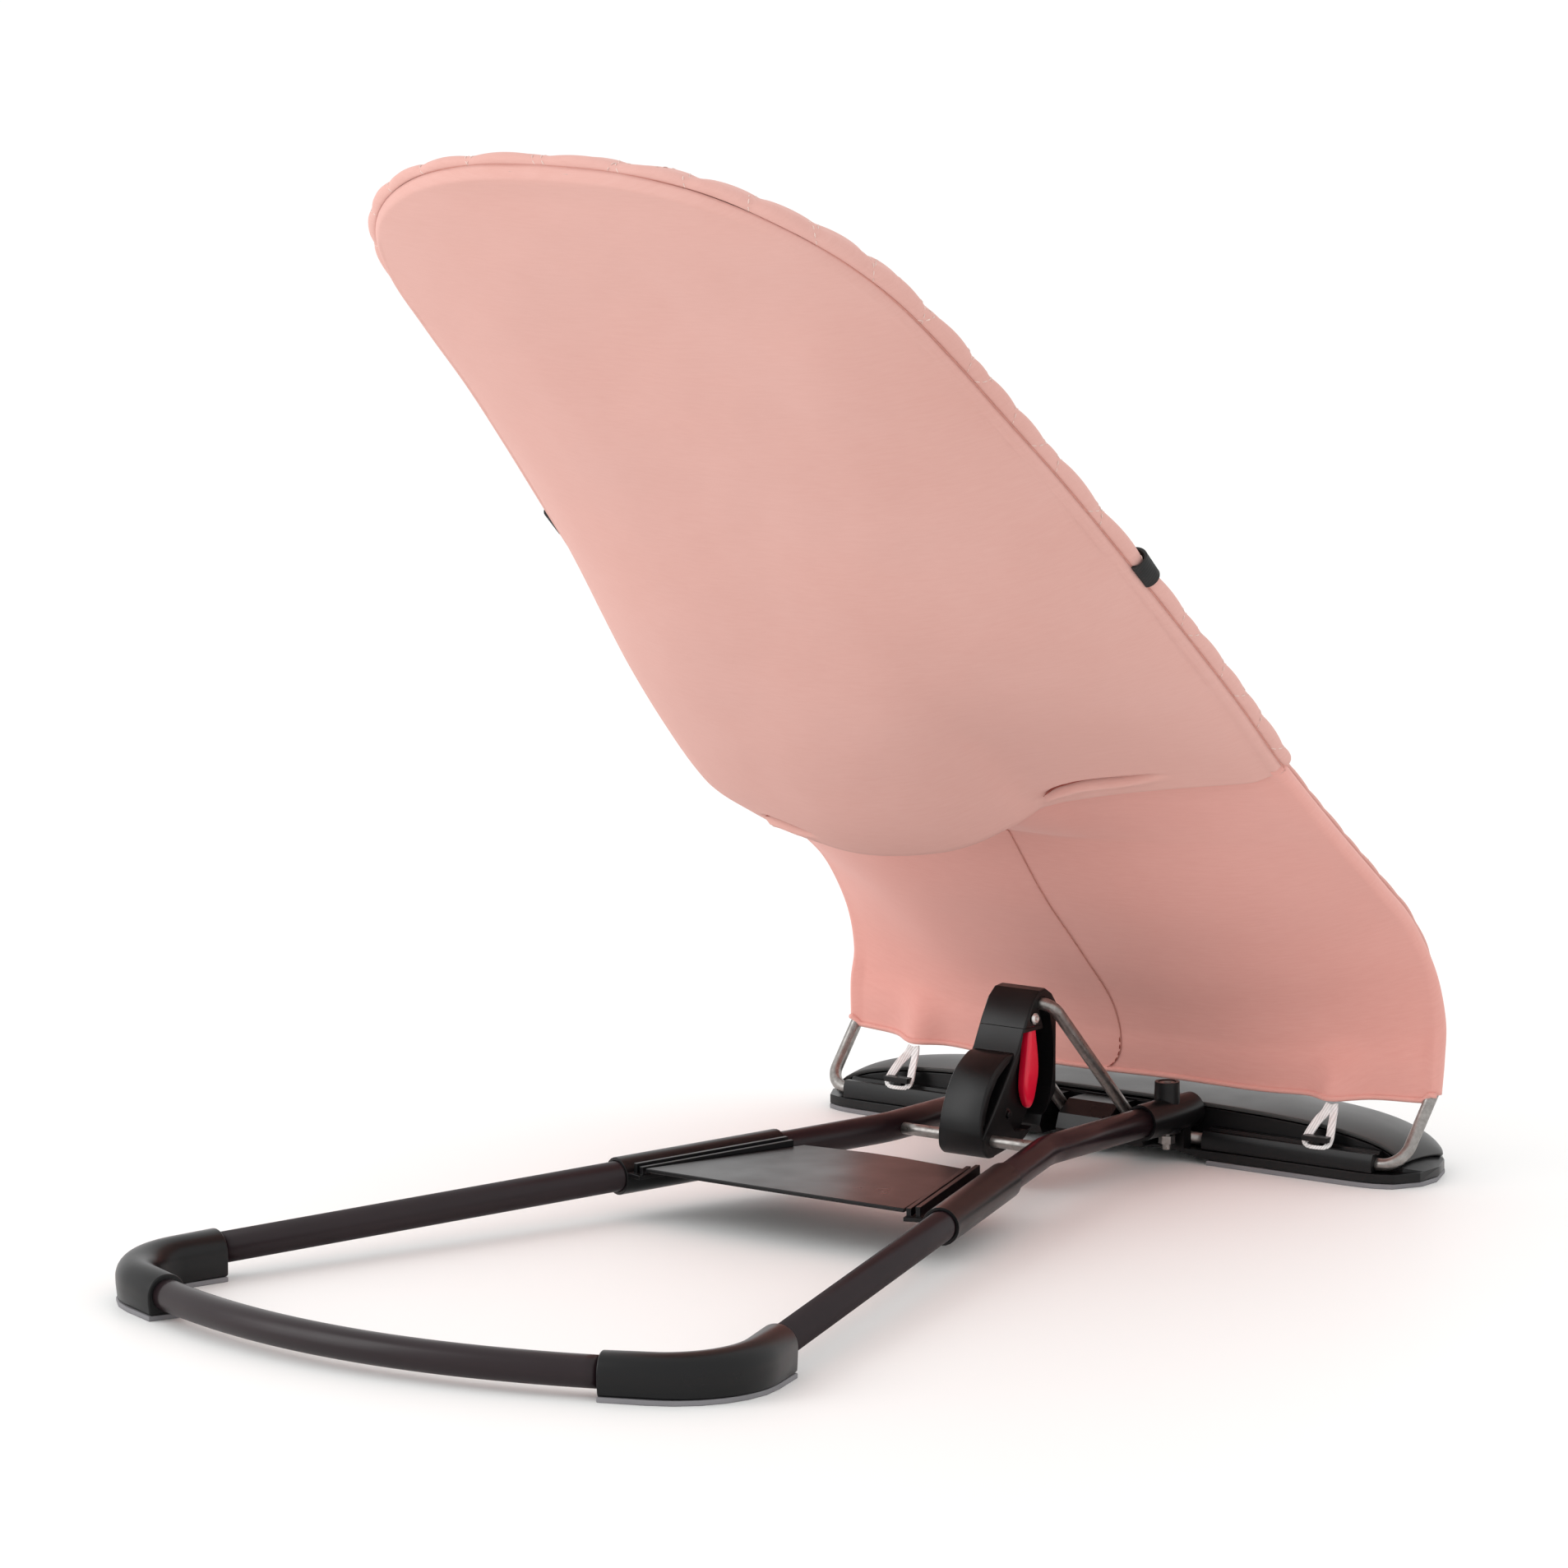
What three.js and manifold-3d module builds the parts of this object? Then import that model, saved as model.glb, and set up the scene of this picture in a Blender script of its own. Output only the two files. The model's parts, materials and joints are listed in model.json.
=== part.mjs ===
// Baby bouncer seat: a sprung steel wire seat with a fabric sling, hinged on a wide front foot,
// and held up from behind by a slotted block that pivots between the two tubes of the base.
// Millimetres, +Z up, feet end towards -Y, head end towards +Y, the baby's right side towards -X.

import * as THREE from 'three';
import { mergeVertices } from 'three/addons/utils/BufferGeometryUtils.js';
import Module from 'manifold-3d';

const wasm = await Module();
wasm.setup();

// ---- driving dimensions -------------------------------------------------------------------------

const ORIGIN_Y = 274;            // from the seat hinge axis to the middle of the whole length
const GAP = 0.3;                 // air left between pieces that touch
const RAIL_Z = 12;               // height of the seat hinge axis (the wire rail at y = 0)
const WIRE_R = 3.4;
const RAIL_HALF = 174;           // half width of the covered part of the wire rail
const RAIL_SPLIT = 64;           // where the side wires meet the bow wire

const TUBE_R = 8;
const TUBE_WALL = 1.4;
const TUBE_X = 51.5;
const TUBE_Z = 26.5;
const TUBE_FRONT_Y = 22;
const TUBE_BEND_Y = 134;
const SIDE_END = [179, 549, 15.2];
const CORNER = [192.6, 597.7, 13.6];
const REAR_END = [135, 621, 12.4];
const REAR_BULGE = 27.5;         // how far the rear tube bows out behind its ends
const ELBOW_R = 10.3;
const ELBOW_BEND_R = 42;
const SOLE_H = 2.6;

const FOOT_HALF = 194;
const FOOT_REAR_Y = 9;
const FOOT_DEPTH = 88;
const FOOT_MID_Y = -20;
const FLANGE_TOP = 7.8;
const COVER_REAR_Y = -6.5;
const COVER_RISE = 21.8;
const COVER_WALL = 2.4;
const PAD_INNER_X = 71;          // inner end of each grey sole under the front foot
const LOOP_X = 138;              // where the elastic loops and their hooks sit
const HOUSING_HALF = 40;
const SOCKET_Y = 18.4;           // the bolt that holds each tube in its socket
const BOLT_R = 2.4;

const PIVOT = [130.5, 26.5];     // block pivot (y, z) on the cross rod
const ROD_R = 3.2;
const BAR = [84.9, 94.1];        // bow crossbar (y, z) with the seat raised
const BOW_X = 21.6;
const BOW_RADII = [6, 7, 7, 6];
const FOLD_DEG = 42;
const BLOCK_PER_SEAT = 2.667;    // block turn for each degree of seat turn
const SLOT_R = WIRE_R + 0.6;
const BLOCK_HALF = 15;
const BLOCK_BEVEL = 1.4;
const RECESS_X = -8.6;           // floor of the recess the release lever lies in
const LEVER_PIVOT = [92.5, 87];
const LEVER_EYE_R = 2.2;
const SPRING = [112.5, 37.5];

const SEAT_SLOPE = THREE.MathUtils.degToRad(42.7);
const SEAT_OFFSET = 82.3;        // distance of the seat wire's plane from the hinge axis
const SEAT_TOP = 732;            // length along the seat plane to the head wire
const PANEL_SPLIT = 248;         // where the lower panel ends and the back panel starts
const PAD_FROM = 62;             // the front pad starts above the bend of the side wires
const FLAP_FROM = 96;            // the restraint flap, from its narrow end to its wide one
const FLAP_TO = 438;
const FLAP_NARROW = 42;
const FLAP_WIDE = 128;
const STRAP_FROM = 405;          // the two straps that hold the flap to the side wires
const STRAP_TO = 425;
const STRAP_OUTER = 187;

// ---- materials ----------------------------------------------------------------------------------

const finish = (color, roughness, metalness = 0) =>
  new THREE.MeshStandardMaterial({ color, roughness, metalness });
const FABRIC = finish('#dcaa9e', 0.9);
const FABRIC_LOWER = finish('#d99c90', 0.9);
const STEEL = finish('#8f8a86', 0.35, 1);
const TUBE_BLACK = finish('#1c1a1a', 0.4, 0.3);
const PLASTIC_BLACK = finish('#1a1a1b', 0.5);
const COVER_GREY = finish('#6c6c6a', 0.45);
const RUBBER_GREY = finish('#7b7a7c', 0.8);
const RED = finish('#c4002b', 0.3);
const WHITE = finish('#e9e7e6', 0.8);
const WEBBING = finish('#161616', 0.85);

// ---- geometry helpers ---------------------------------------------------------------------------

const bouncer = new THREE.Group();
const SIDES = [['right', -1], ['left', 1]];

function part(name, geometry, material, parent = bouncer) {
  const mesh = new THREE.Mesh(geometry, material);
  mesh.name = name;
  parent.add(mesh);
  return mesh;
}

// A curve that passes through its own points one step at a time.
class Route extends THREE.Curve {
  constructor(points) {
    super();
    this.points = points.map((p) => (p.isVector3 ? p : new THREE.Vector3(...p)));
  }
  getPoint(t, target = new THREE.Vector3()) {
    const place = t * (this.points.length - 1);
    const i = Math.min(Math.floor(place + 1e-9), this.points.length - 2);
    return target.copy(this.points[i]).lerp(this.points[i + 1], place - i);
  }
  getPointAt(u, target) {
    return this.getPoint(u, target);
  }
  getTangentAt(u, target = new THREE.Vector3()) {
    const i = Math.round(u * (this.points.length - 1));
    const before = this.points[Math.max(i - 1, 0)];
    const after = this.points[Math.min(i + 1, this.points.length - 1)];
    return target.copy(after).sub(before).normalize();
  }
}

// Points of a bent rod: each inner corner is replaced by an arc of its own radius.
function bend(corners, radii, arcSteps = 6) {
  const c = corners.map((p) => new THREE.Vector3(...p));
  const points = [c[0]];
  for (let i = 1; i < c.length - 1; i += 1) {
    const back = c[i - 1].clone().sub(c[i]).normalize();
    const on = c[i + 1].clone().sub(c[i]).normalize();
    const half = back.angleTo(on) / 2;
    const reach = radii[i - 1] / Math.tan(half);
    const inward = back.clone().add(on).normalize();
    const centre = c[i].clone().addScaledVector(inward, radii[i - 1] / Math.sin(half));
    const from = c[i].clone().addScaledVector(back, reach).sub(centre);
    const to = c[i].clone().addScaledVector(on, reach).sub(centre);
    const turn = from.angleTo(to);
    for (let k = 0; k <= arcSteps; k += 1) {
      const a = (turn * k) / arcSteps;
      const onArc = from.clone().multiplyScalar(Math.sin(turn - a));
      onArc.addScaledVector(to, Math.sin(a)).divideScalar(Math.sin(turn));
      points.push(onArc.add(centre));
    }
  }
  points.push(c[c.length - 1]);
  return points;
}

function circle(radius, sides) {
  const shape = new THREE.Shape();
  for (let i = 0; i < sides; i += 1) {
    const a = (2 * Math.PI * (i + 0.5)) / sides;
    if (i === 0) shape.moveTo(radius * Math.cos(a), radius * Math.sin(a));
    else shape.lineTo(radius * Math.cos(a), radius * Math.sin(a));
  }
  shape.closePath();
  return shape;
}

function rod(points, radius, sides = 10, hollow = 0) {
  const section = circle(radius, sides);
  if (hollow > 0) section.holes.push(new THREE.Path(circle(hollow, sides).getPoints().reverse()));
  const path = new Route(points);
  return new THREE.ExtrudeGeometry(section, { steps: points.length - 1, extrudePath: path });
}

const polygon = (points) => new THREE.Shape(points.map(([a, b]) => new THREE.Vector2(a, b)));

// A side profile in (y, z), extruded along X between two planes.
function across(profile, x0, x1, bevel = 0) {
  const options = {
    depth: x1 - x0 - 2 * bevel,
    bevelEnabled: bevel > 0,
    bevelSize: bevel,
    bevelThickness: bevel,
    bevelOffset: -bevel,
    bevelSegments: 2,
  };
  const geometry = new THREE.ExtrudeGeometry(profile, options);
  const basis = new THREE.Matrix4().makeBasis(
    new THREE.Vector3(0, 1, 0),
    new THREE.Vector3(0, 0, 1),
    new THREE.Vector3(1, 0, 0),
  );
  return geometry.applyMatrix4(basis).translate(x0 + bevel, 0, 0);
}

function block(x0, x1, y0, y1, z0, z1) {
  const geometry = new THREE.BoxGeometry(x1 - x0, y1 - y0, z1 - z0);
  return geometry.translate((x0 + x1) / 2, (y0 + y1) / 2, (z0 + z1) / 2);
}

function disc(radius, x0, x1, [y, z], sides = 20) {
  const geometry = new THREE.CylinderGeometry(radius, radius, x1 - x0, sides);
  return geometry.rotateZ(Math.PI / 2).translate((x0 + x1) / 2, y, z);
}

function toSolid(geometry) {
  const bare = geometry.clone();
  bare.deleteAttribute('normal');
  bare.deleteAttribute('uv');
  const merged = mergeVertices(bare, 1e-4);
  return new wasm.Manifold(new wasm.Mesh({
    numProp: 3,
    vertProperties: new Float32Array(merged.attributes.position.array),
    triVerts: new Uint32Array(merged.index.array),
  }));
}

function toGeometry(solid) {
  const mesh = solid.getMesh();
  const geometry = new THREE.BufferGeometry();
  geometry.setAttribute('position', new THREE.BufferAttribute(mesh.vertProperties, 3));
  geometry.setIndex(new THREE.BufferAttribute(mesh.triVerts, 1));
  geometry.computeVertexNormals();
  return geometry;
}

const joinAll = (...shapes) => shapes.map(toSolid).reduce((a, b) => a.add(b));
const cutAll = (solid, ...tools) => tools.map(toSolid).reduce((a, b) => a.subtract(b), solid);

// A closed slab between two surfaces given on the same grid of (u, v) places.
function slab(upper, lower, nu, nv) {
  const positions = [];
  const index = [];
  const at = (layer, i, j) => (layer * (nu + 1) + i) * (nv + 1) + j;
  for (const surface of [upper, lower]) {
    for (let i = 0; i <= nu; i += 1) {
      for (let j = 0; j <= nv; j += 1) positions.push(...surface(i / nu, j / nv, j));
    }
  }
  const quad = (a, b, c, d) => index.push(a, b, c, a, c, d);
  for (let i = 0; i < nu; i += 1) {
    for (let j = 0; j < nv; j += 1) {
      quad(at(0, i, j), at(0, i + 1, j), at(0, i + 1, j + 1), at(0, i, j + 1));
      quad(at(1, i, j), at(1, i, j + 1), at(1, i + 1, j + 1), at(1, i + 1, j));
    }
  }
  for (let i = 0; i < nu; i += 1) {
    quad(at(0, i, 0), at(1, i, 0), at(1, i + 1, 0), at(0, i + 1, 0));
    quad(at(0, i, nv), at(0, i + 1, nv), at(1, i + 1, nv), at(1, i, nv));
  }
  for (let j = 0; j < nv; j += 1) {
    quad(at(0, 0, j), at(0, 0, j + 1), at(1, 0, j + 1), at(1, 0, j));
    quad(at(0, nu, j), at(1, nu, j), at(1, nu, j + 1), at(0, nu, j + 1));
  }
  const geometry = new THREE.BufferGeometry();
  geometry.setAttribute('position', new THREE.Float32BufferAttribute(positions, 3));
  geometry.setIndex(index);
  geometry.computeVertexNormals();
  return geometry;
}

const mix = THREE.MathUtils.lerp;
const smooth = THREE.MathUtils.smoothstep;

// ---- front foot ---------------------------------------------------------------------------------

function footHalfSpan(x, power) {
  const t = Math.min(Math.abs(x) / (FOOT_HALF + 1), 1);
  return Math.sqrt(1 - t ** power);
}
const footRearY = (x) => FOOT_MID_Y + (FOOT_REAR_Y - FOOT_MID_Y) * footHalfSpan(x, 20);
const footFrontY = (x) => FOOT_MID_Y - FOOT_DEPTH * footHalfSpan(x, 2.4);

// Height of the cover: a crown that dips towards the rear edge and rolls over at the front and both ends.
function coverTop(x, y) {
  const depth = Math.max((COVER_REAR_Y - y) / (COVER_REAR_Y - footFrontY(x)), 0);
  const dip = mix(0.05, 0.26, (x / FOOT_HALF) ** 2) * Math.max(1 - depth / 0.4, 0) ** 2;
  const along = Math.max(1 - depth ** 2.8, 0) ** 0.6 - dip;
  const ends = Math.sqrt(Math.max(1 - (Math.abs(x) / (FOOT_HALF - 7.5)) ** 6, 0));
  return FLANGE_TOP + GAP + COVER_WALL + COVER_RISE * along * ends;
}

function underside(x) {
  return SOLE_H + GAP + 3 * (1 - smooth(Math.abs(x), PAD_INNER_X - 14, PAD_INNER_X - 3));
}

const FOOT_STATIONS = 26;
const FOOT_ROWS = 6;
const COVER_HALF = FOOT_HALF - 8;

// A place under the cover, from the front edge (v = 0) to the rear edge (v = 1).
function coverPlace(u, v) {
  const t = 2 * u - 1;
  const x = COVER_HALF * (0.35 * Math.sin((t * Math.PI) / 2) + 0.65 * t);
  const rear = Math.min(COVER_REAR_Y, footRearY(x) - 1);
  return [x, mix(footFrontY(x) + 1, rear, v ** 0.8)];
}

// The body shares the cover's grid, with one more station at each end and the flange all round.
function frontFootBody() {
  const station = (i) => Math.min(Math.max(i - 1, 0), FOOT_STATIONS) / FOOT_STATIONS;
  const endX = (i, x) => (i === 0 || i === FOOT_STATIONS + 2 ? Math.sign(x) * FOOT_HALF : x);
  const place = (i, j) => {
    const row = Math.min(Math.max(j - 1, 0), FOOT_ROWS) / FOOT_ROWS;
    const [coverX, coverY] = coverPlace(station(i), row);
    const x = endX(i, coverX);
    if (x !== coverX) return [x, mix(footFrontY(x), footRearY(x), j / (FOOT_ROWS + 3)), FLANGE_TOP];
    if (j === 0) return [x, footFrontY(x), FLANGE_TOP];
    if (j === FOOT_ROWS + 3) return [x, footRearY(x), FLANGE_TOP];
    if (j === FOOT_ROWS + 2) return [x, coverY + 0.6, FLANGE_TOP];
    return [x, coverY, coverTop(x, coverY) - COVER_WALL - GAP];
  };
  const nu = FOOT_STATIONS + 2;
  const nv = FOOT_ROWS + 3;
  const upper = (u, v) => place(Math.round(u * nu), Math.round(v * nv));
  const lower = (u, v) => {
    const [x, y] = upper(u, v);
    return [x, y, underside(x)];
  };
  return slab(upper, lower, nu, nv);
}

function frontFootCover() {
  const height = (u, v, drop) => {
    const [x, y] = coverPlace(u, v);
    return [x, y, coverTop(x, y) - drop];
  };
  return slab((u, v) => height(u, v, 0), (u, v) => height(u, v, COVER_WALL), FOOT_STATIONS, FOOT_ROWS);
}

function frontSole(side) {
  const inner = PAD_INNER_X;
  const outer = FOOT_HALF + 0.5;
  const place = (u, v, z) => {
    const x = side * mix(side > 0 ? inner : outer, side > 0 ? outer : inner, u);
    return [x, mix(footFrontY(x) - 0.6, footRearY(x) + 0.6, v), z];
  };
  return slab((u, v) => place(u, v, SOLE_H), (u, v) => place(u, v, 0), 14, 2);
}

const FLOOR_OF_FITTINGS = FLANGE_TOP + GAP;
const RAIL_CAP_PROFILE = [
  [-5.5, FLOOR_OF_FITTINGS], [6.6, FLOOR_OF_FITTINGS], [6.6, 14], [5, 17.6], [1.5, 17.6], [0.5, 16.8],
  [-1.5, 16.8], [-2.5, 18.4], [-5.5, 18.4],
];
const HOUSING_PROFILE = [
  [-5.5, FLOOR_OF_FITTINGS], [23, FLOOR_OF_FITTINGS], [26, 13], [23, 21], [13, 27.5], [-5.5, 27.5],
];

function railCap(side) {
  const inner = PAD_INNER_X - 5;
  const [a, b] = side > 0 ? [inner, RAIL_HALF] : [-RAIL_HALF, -inner];
  const bar = toSolid(across(polygon(RAIL_CAP_PROFILE), a, b));
  return toGeometry(cutAll(bar, disc(WIRE_R + 0.35, a - 1, b + 1, [0, RAIL_Z], 16)));
}

// A T-shaped hook: a stem and a bar across it.
function strapHook(side) {
  const x = side * LOOP_X;
  const stem = block(x - 2.5, x + 2.5, 1.8, 4.8, 17.6 + GAP, 21.5);
  const bar = block(x - 8, x + 8, 1.2, 6.6, 20.5, 23.5);
  return toGeometry(joinAll(stem, bar));
}

// The middle of the foot, with a slot for each leg of the bow wire to swing in.
function hingeHousing() {
  const body = toSolid(across(polygon(HOUSING_PROFILE), -HOUSING_HALF, HOUSING_HALF, 1.5));
  const legSlots = SIDES.map(([, s]) => {
    const x = s * BOW_X;
    return block(x - 5.2, x + 5.2, -4.3, 40, 0, 40);
  });
  const railBore = disc(WIRE_R + 0.4, -HOUSING_HALF - 5, HOUSING_HALF + 5, [0, RAIL_Z], 16);
  return toGeometry(cutAll(body, ...legSlots, railBore));
}

// A sleeve for the tube, a boss for its bolt and a web that stands on the foot.
function tubeSocket(side) {
  const x = side * TUBE_X;
  const sleeve = new THREE.CylinderGeometry(TUBE_R + 1.9, TUBE_R + 1.9, 48, 24);
  sleeve.translate(x, 20, TUBE_Z);
  const boss = new THREE.CylinderGeometry(6.8, 7.4, 28, 20).rotateX(Math.PI / 2);
  boss.translate(x, SOCKET_Y, 31.5);
  const web = block(x - 7, x + 7, 5.2, 12.5, FLOOR_OF_FITTINGS, 22);
  const body = joinAll(sleeve, boss, web);
  const bore = new THREE.CylinderGeometry(TUBE_R + GAP, TUBE_R + GAP, 40, 24);
  bore.translate(x, TUBE_FRONT_Y - GAP + 20, TUBE_Z);
  const boltHole = new THREE.CylinderGeometry(BOLT_R + 0.4, BOLT_R + 0.4, 60, 14).rotateX(Math.PI / 2);
  boltHole.translate(x, SOCKET_Y, 30);
  const headHole = new THREE.CylinderGeometry(5, 5, 6, 18).rotateX(Math.PI / 2);
  headHole.translate(x, SOCKET_Y, 45.6);
  return toGeometry(cutAll(body, bore, boltHole, headHole));
}

// Radius and height of the bolt: a plain shank and a head with a round socket.
const BOLT_PROFILE = [
  [0, 8], [BOLT_R, 8], [BOLT_R, 43], [4.6, 43], [4.6, 45], [2.2, 45], [2.2, 43.6], [0, 43.6],
];

function turned(profile, sides) {
  return new THREE.LatheGeometry(profile.map(([r, z]) => new THREE.Vector2(r, z)), sides);
}

function socketBolt(side) {
  return turned(BOLT_PROFILE, 16).rotateX(Math.PI / 2).translate(side * TUBE_X, SOCKET_Y, 0);
}

function socketNut(side) {
  const hex = circle(4.6, 6);
  hex.holes.push(new THREE.Path(circle(BOLT_R + GAP, 16).getPoints().reverse()));
  const geometry = new THREE.ExtrudeGeometry(hex, { depth: 4.4, bevelEnabled: false });
  return geometry.translate(side * TUBE_X, SOCKET_Y, 11.4);
}

function makeFrontFoot() {
  part('front_foot_body', frontFootBody(), PLASTIC_BLACK);
  part('front_foot_cover', frontFootCover(), COVER_GREY);
  part('hinge_housing', hingeHousing(), PLASTIC_BLACK);
  for (const [label, side] of SIDES) {
    part(`front_sole_${label}`, frontSole(side), RUBBER_GREY);
    part(`wire_rail_cap_${label}`, railCap(side), PLASTIC_BLACK);
    part(`strap_hook_${label}`, strapHook(side), PLASTIC_BLACK);
    part(`tube_socket_${label}`, tubeSocket(side), PLASTIC_BLACK);
    part(`socket_bolt_${label}`, socketBolt(side), STEEL);
    part(`socket_nut_${label}`, socketNut(side), STEEL);
  }
}

// ---- rear frame ---------------------------------------------------------------------------------

const SPLAY = new THREE.Vector3(...SIDE_END)
  .sub(new THREE.Vector3(TUBE_X, TUBE_BEND_Y, TUBE_Z))
  .normalize();

function sideTube(side) {
  const corners = [
    [side * TUBE_X, TUBE_FRONT_Y, TUBE_Z],
    [side * TUBE_X, TUBE_BEND_Y, TUBE_Z],
    [side * SIDE_END[0], SIDE_END[1], SIDE_END[2]],
  ];
  return rod(bend(corners, [60], 7), TUBE_R, 14, TUBE_R - TUBE_WALL);
}

function rearTube() {
  const steps = 12;
  const points = [];
  for (let i = 0; i <= steps; i += 1) {
    const t = (2 * i) / steps - 1;
    points.push([REAR_END[0] * t, REAR_END[1] + REAR_BULGE * (1 - t * t), REAR_END[2]]);
  }
  return rod(points, TUBE_R, 14, TUBE_R - TUBE_WALL);
}

// The elbow's centre line runs over the last stretch of both tubes and round the corner.
function elbowLine(side, extra) {
  const start = new THREE.Vector3(...SIDE_END).addScaledVector(SPLAY, -12 - extra);
  const on = new THREE.Vector3(...REAR_END).sub(new THREE.Vector3(...CORNER)).normalize();
  const end = new THREE.Vector3(...REAR_END).addScaledVector(on, extra);
  const corners = [start.toArray(), CORNER, end.toArray()];
  return bend(corners, [ELBOW_BEND_R], 6).map((p) => [side * p.x, p.y, p.z]);
}

// A flat band that follows the elbow, between two heights.
function elbowBand(side, halfWidth, z0, z1) {
  const line = elbowLine(1, 0);
  const outer = [];
  const inner = [];
  line.forEach(([x, y], i) => {
    const [ax, ay] = line[Math.max(i - 1, 0)];
    const [bx, by] = line[Math.min(i + 1, line.length - 1)];
    const length = Math.hypot(bx - ax, by - ay);
    const normal = [(by - ay) / length, -(bx - ax) / length];
    outer.push([side * (x + normal[0] * halfWidth), y + normal[1] * halfWidth]);
    inner.push([side * (x - normal[0] * halfWidth), y - normal[1] * halfWidth]);
  });
  const outline = polygon([...outer, ...inner.reverse()]);
  const geometry = new THREE.ExtrudeGeometry(outline, { depth: z1 - z0, bevelEnabled: false });
  return geometry.translate(0, 0, z0);
}

function cornerElbow(side) {
  const shell = rod(elbowLine(side, 0), ELBOW_R, 14);
  const skirt = elbowBand(side, ELBOW_R - 0.6, SOLE_H + GAP, 11);
  const bore = rod(elbowLine(side, 4), TUBE_R + 2 * GAP, 14);
  return toGeometry(cutAll(joinAll(shell, skirt), bore, block(-260, 260, 400, 800, -20, SOLE_H + GAP)));
}

// Frame of a clip: its own Y runs along the side tube.
function clipFrame(side, alongY) {
  const group = new THREE.Group();
  const direction = new THREE.Vector3(side * SPLAY.x, SPLAY.y, SPLAY.z);
  const travel = (alongY - TUBE_BEND_Y) / SPLAY.y;
  group.position.set(side * (TUBE_X + SPLAY.x * travel), alongY, TUBE_Z + SPLAY.z * travel);
  group.quaternion.setFromUnitVectors(new THREE.Vector3(0, 1, 0), direction);
  return group;
}

const CLIP_Y = 254;
const CLIP_LENGTH = 104;
const PLATE_FROM = 208;
const PLATE_TO = 306;
const PLATE_TOP = 30.2;

// A sleeve round the side tube, with a shelf towards the plate and two ridges along it.
function plateClip(side) {
  const half = CLIP_LENGTH / 2;
  const sleeve = new THREE.CylinderGeometry(TUBE_R + 2, TUBE_R + 2, CLIP_LENGTH, 24);
  const toCentre = (near, far) => (side > 0 ? [-far, -near] : [near, far]);
  const strip = (near, far, z0, z1, shorter) => {
    const [a, b] = toCentre(near, far);
    return block(a, b, -half + shorter, half - shorter, z0, z1);
  };
  const shelf = strip(6, 20, 1.2, 3.4, 0.5);
  const outerRidge = strip(11.6, 14.2, 1.2, 8.6, 3);
  const innerRidge = strip(16.6, 19.2, 1.2, 7.6, 3);
  const bore = new THREE.CylinderGeometry(TUBE_R + GAP, TUBE_R + GAP, CLIP_LENGTH + 4, 24);
  return toGeometry(cutAll(joinAll(sleeve, shelf, outerRidge, innerRidge), bore));
}

function crossPlate() {
  const inner = (y) => TUBE_X + (SPLAY.x / SPLAY.y) * (y - TUBE_BEND_Y) - 21.6;
  const shape = (u, v, z) => {
    const y = mix(PLATE_FROM, PLATE_TO, v);
    const half = inner(y);
    const x = mix(-half, half, u);
    const bow = 5 * (1 - (x / half) ** 2) * v ** 4;
    return [x, y + bow, z + 1.2 * (1 - (x / half) ** 2)];
  };
  return slab((u, v) => shape(u, v, PLATE_TOP - 1.2), (u, v) => shape(u, v, PLATE_TOP - 3.4), 10, 5);
}

function makeRearFrame() {
  for (const [label, side] of SIDES) {
    part(`side_tube_${label}`, sideTube(side), TUBE_BLACK);
    part(`corner_elbow_${label}`, cornerElbow(side), PLASTIC_BLACK);
    part(`corner_sole_${label}`, elbowBand(side, ELBOW_R - 0.2, 0, SOLE_H), RUBBER_GREY);
    const frame = clipFrame(side, CLIP_Y);
    bouncer.add(frame);
    part(`plate_clip_${label}`, plateClip(side), PLASTIC_BLACK, frame);
  }
  part('rear_tube', rearTube(), TUBE_BLACK);
  part('cross_plate', crossPlate(), PLASTIC_BLACK);
  const rodHalf = TUBE_X - TUBE_R - 0.4;
  part('cross_rod', disc(ROD_R, -rodHalf, rodHalf, PIVOT, 20), STEEL);
}

// ---- recline block ------------------------------------------------------------------------------

// Where the bow crossbar is, seen from the block, when the seat has turned down by an angle.
function barInBlock(seatDeg) {
  const seat = THREE.MathUtils.degToRad(seatDeg);
  const [y0, z0] = [BAR[0], BAR[1] - RAIL_Z];
  const y = y0 * Math.cos(seat) + z0 * Math.sin(seat) - PIVOT[0];
  const z = -y0 * Math.sin(seat) + z0 * Math.cos(seat) + RAIL_Z - PIVOT[1];
  const turn = seat * BLOCK_PER_SEAT;
  return [
    PIVOT[0] + y * Math.cos(turn) - z * Math.sin(turn),
    PIVOT[1] + y * Math.sin(turn) + z * Math.cos(turn),
  ];
}

function slotTool() {
  const stations = 16;
  const parts = [];
  for (let i = 0; i < stations; i += 1) {
    const [ay, az] = barInBlock((FOLD_DEG * i) / stations);
    const [by, bz] = barInBlock((FOLD_DEG * (i + 1)) / stations);
    const length = Math.hypot(by - ay, bz - az);
    const link = block(-20, 20, 0, length, -SLOT_R, SLOT_R);
    link.rotateX(Math.atan2(bz - az, by - ay)).translate(0, ay, az);
    parts.push(disc(SLOT_R, -20, 20, [ay, az], 16), link);
  }
  parts.push(disc(SLOT_R, -20, 20, barInBlock(FOLD_DEG), 16));
  return joinAll(...parts);
}

const BLOCK_OUTLINE = [
  [71, 44], [71, 93], [75.5, 98.5], [81, 101.8], [87, 101.2], [93, 96.5], [99.5, 86], [107, 71.5],
  [136.6, 32.5], [139.2, 28.5], [138.4, 22], [134, 18.2], [128, 17.7], [104.5, 21.5], [93, 24], [86, 29],
];

const CAP_REGION = [
  [60, 18], [60, 115], [112, 115], [112, 82.8], [86.5, 82.8], [80, 76], [78.7, 66], [78.2, 58],
  [79.6, 50], [81.8, 42], [85.5, 34.5], [88, 28], [86, 18],
];

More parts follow.
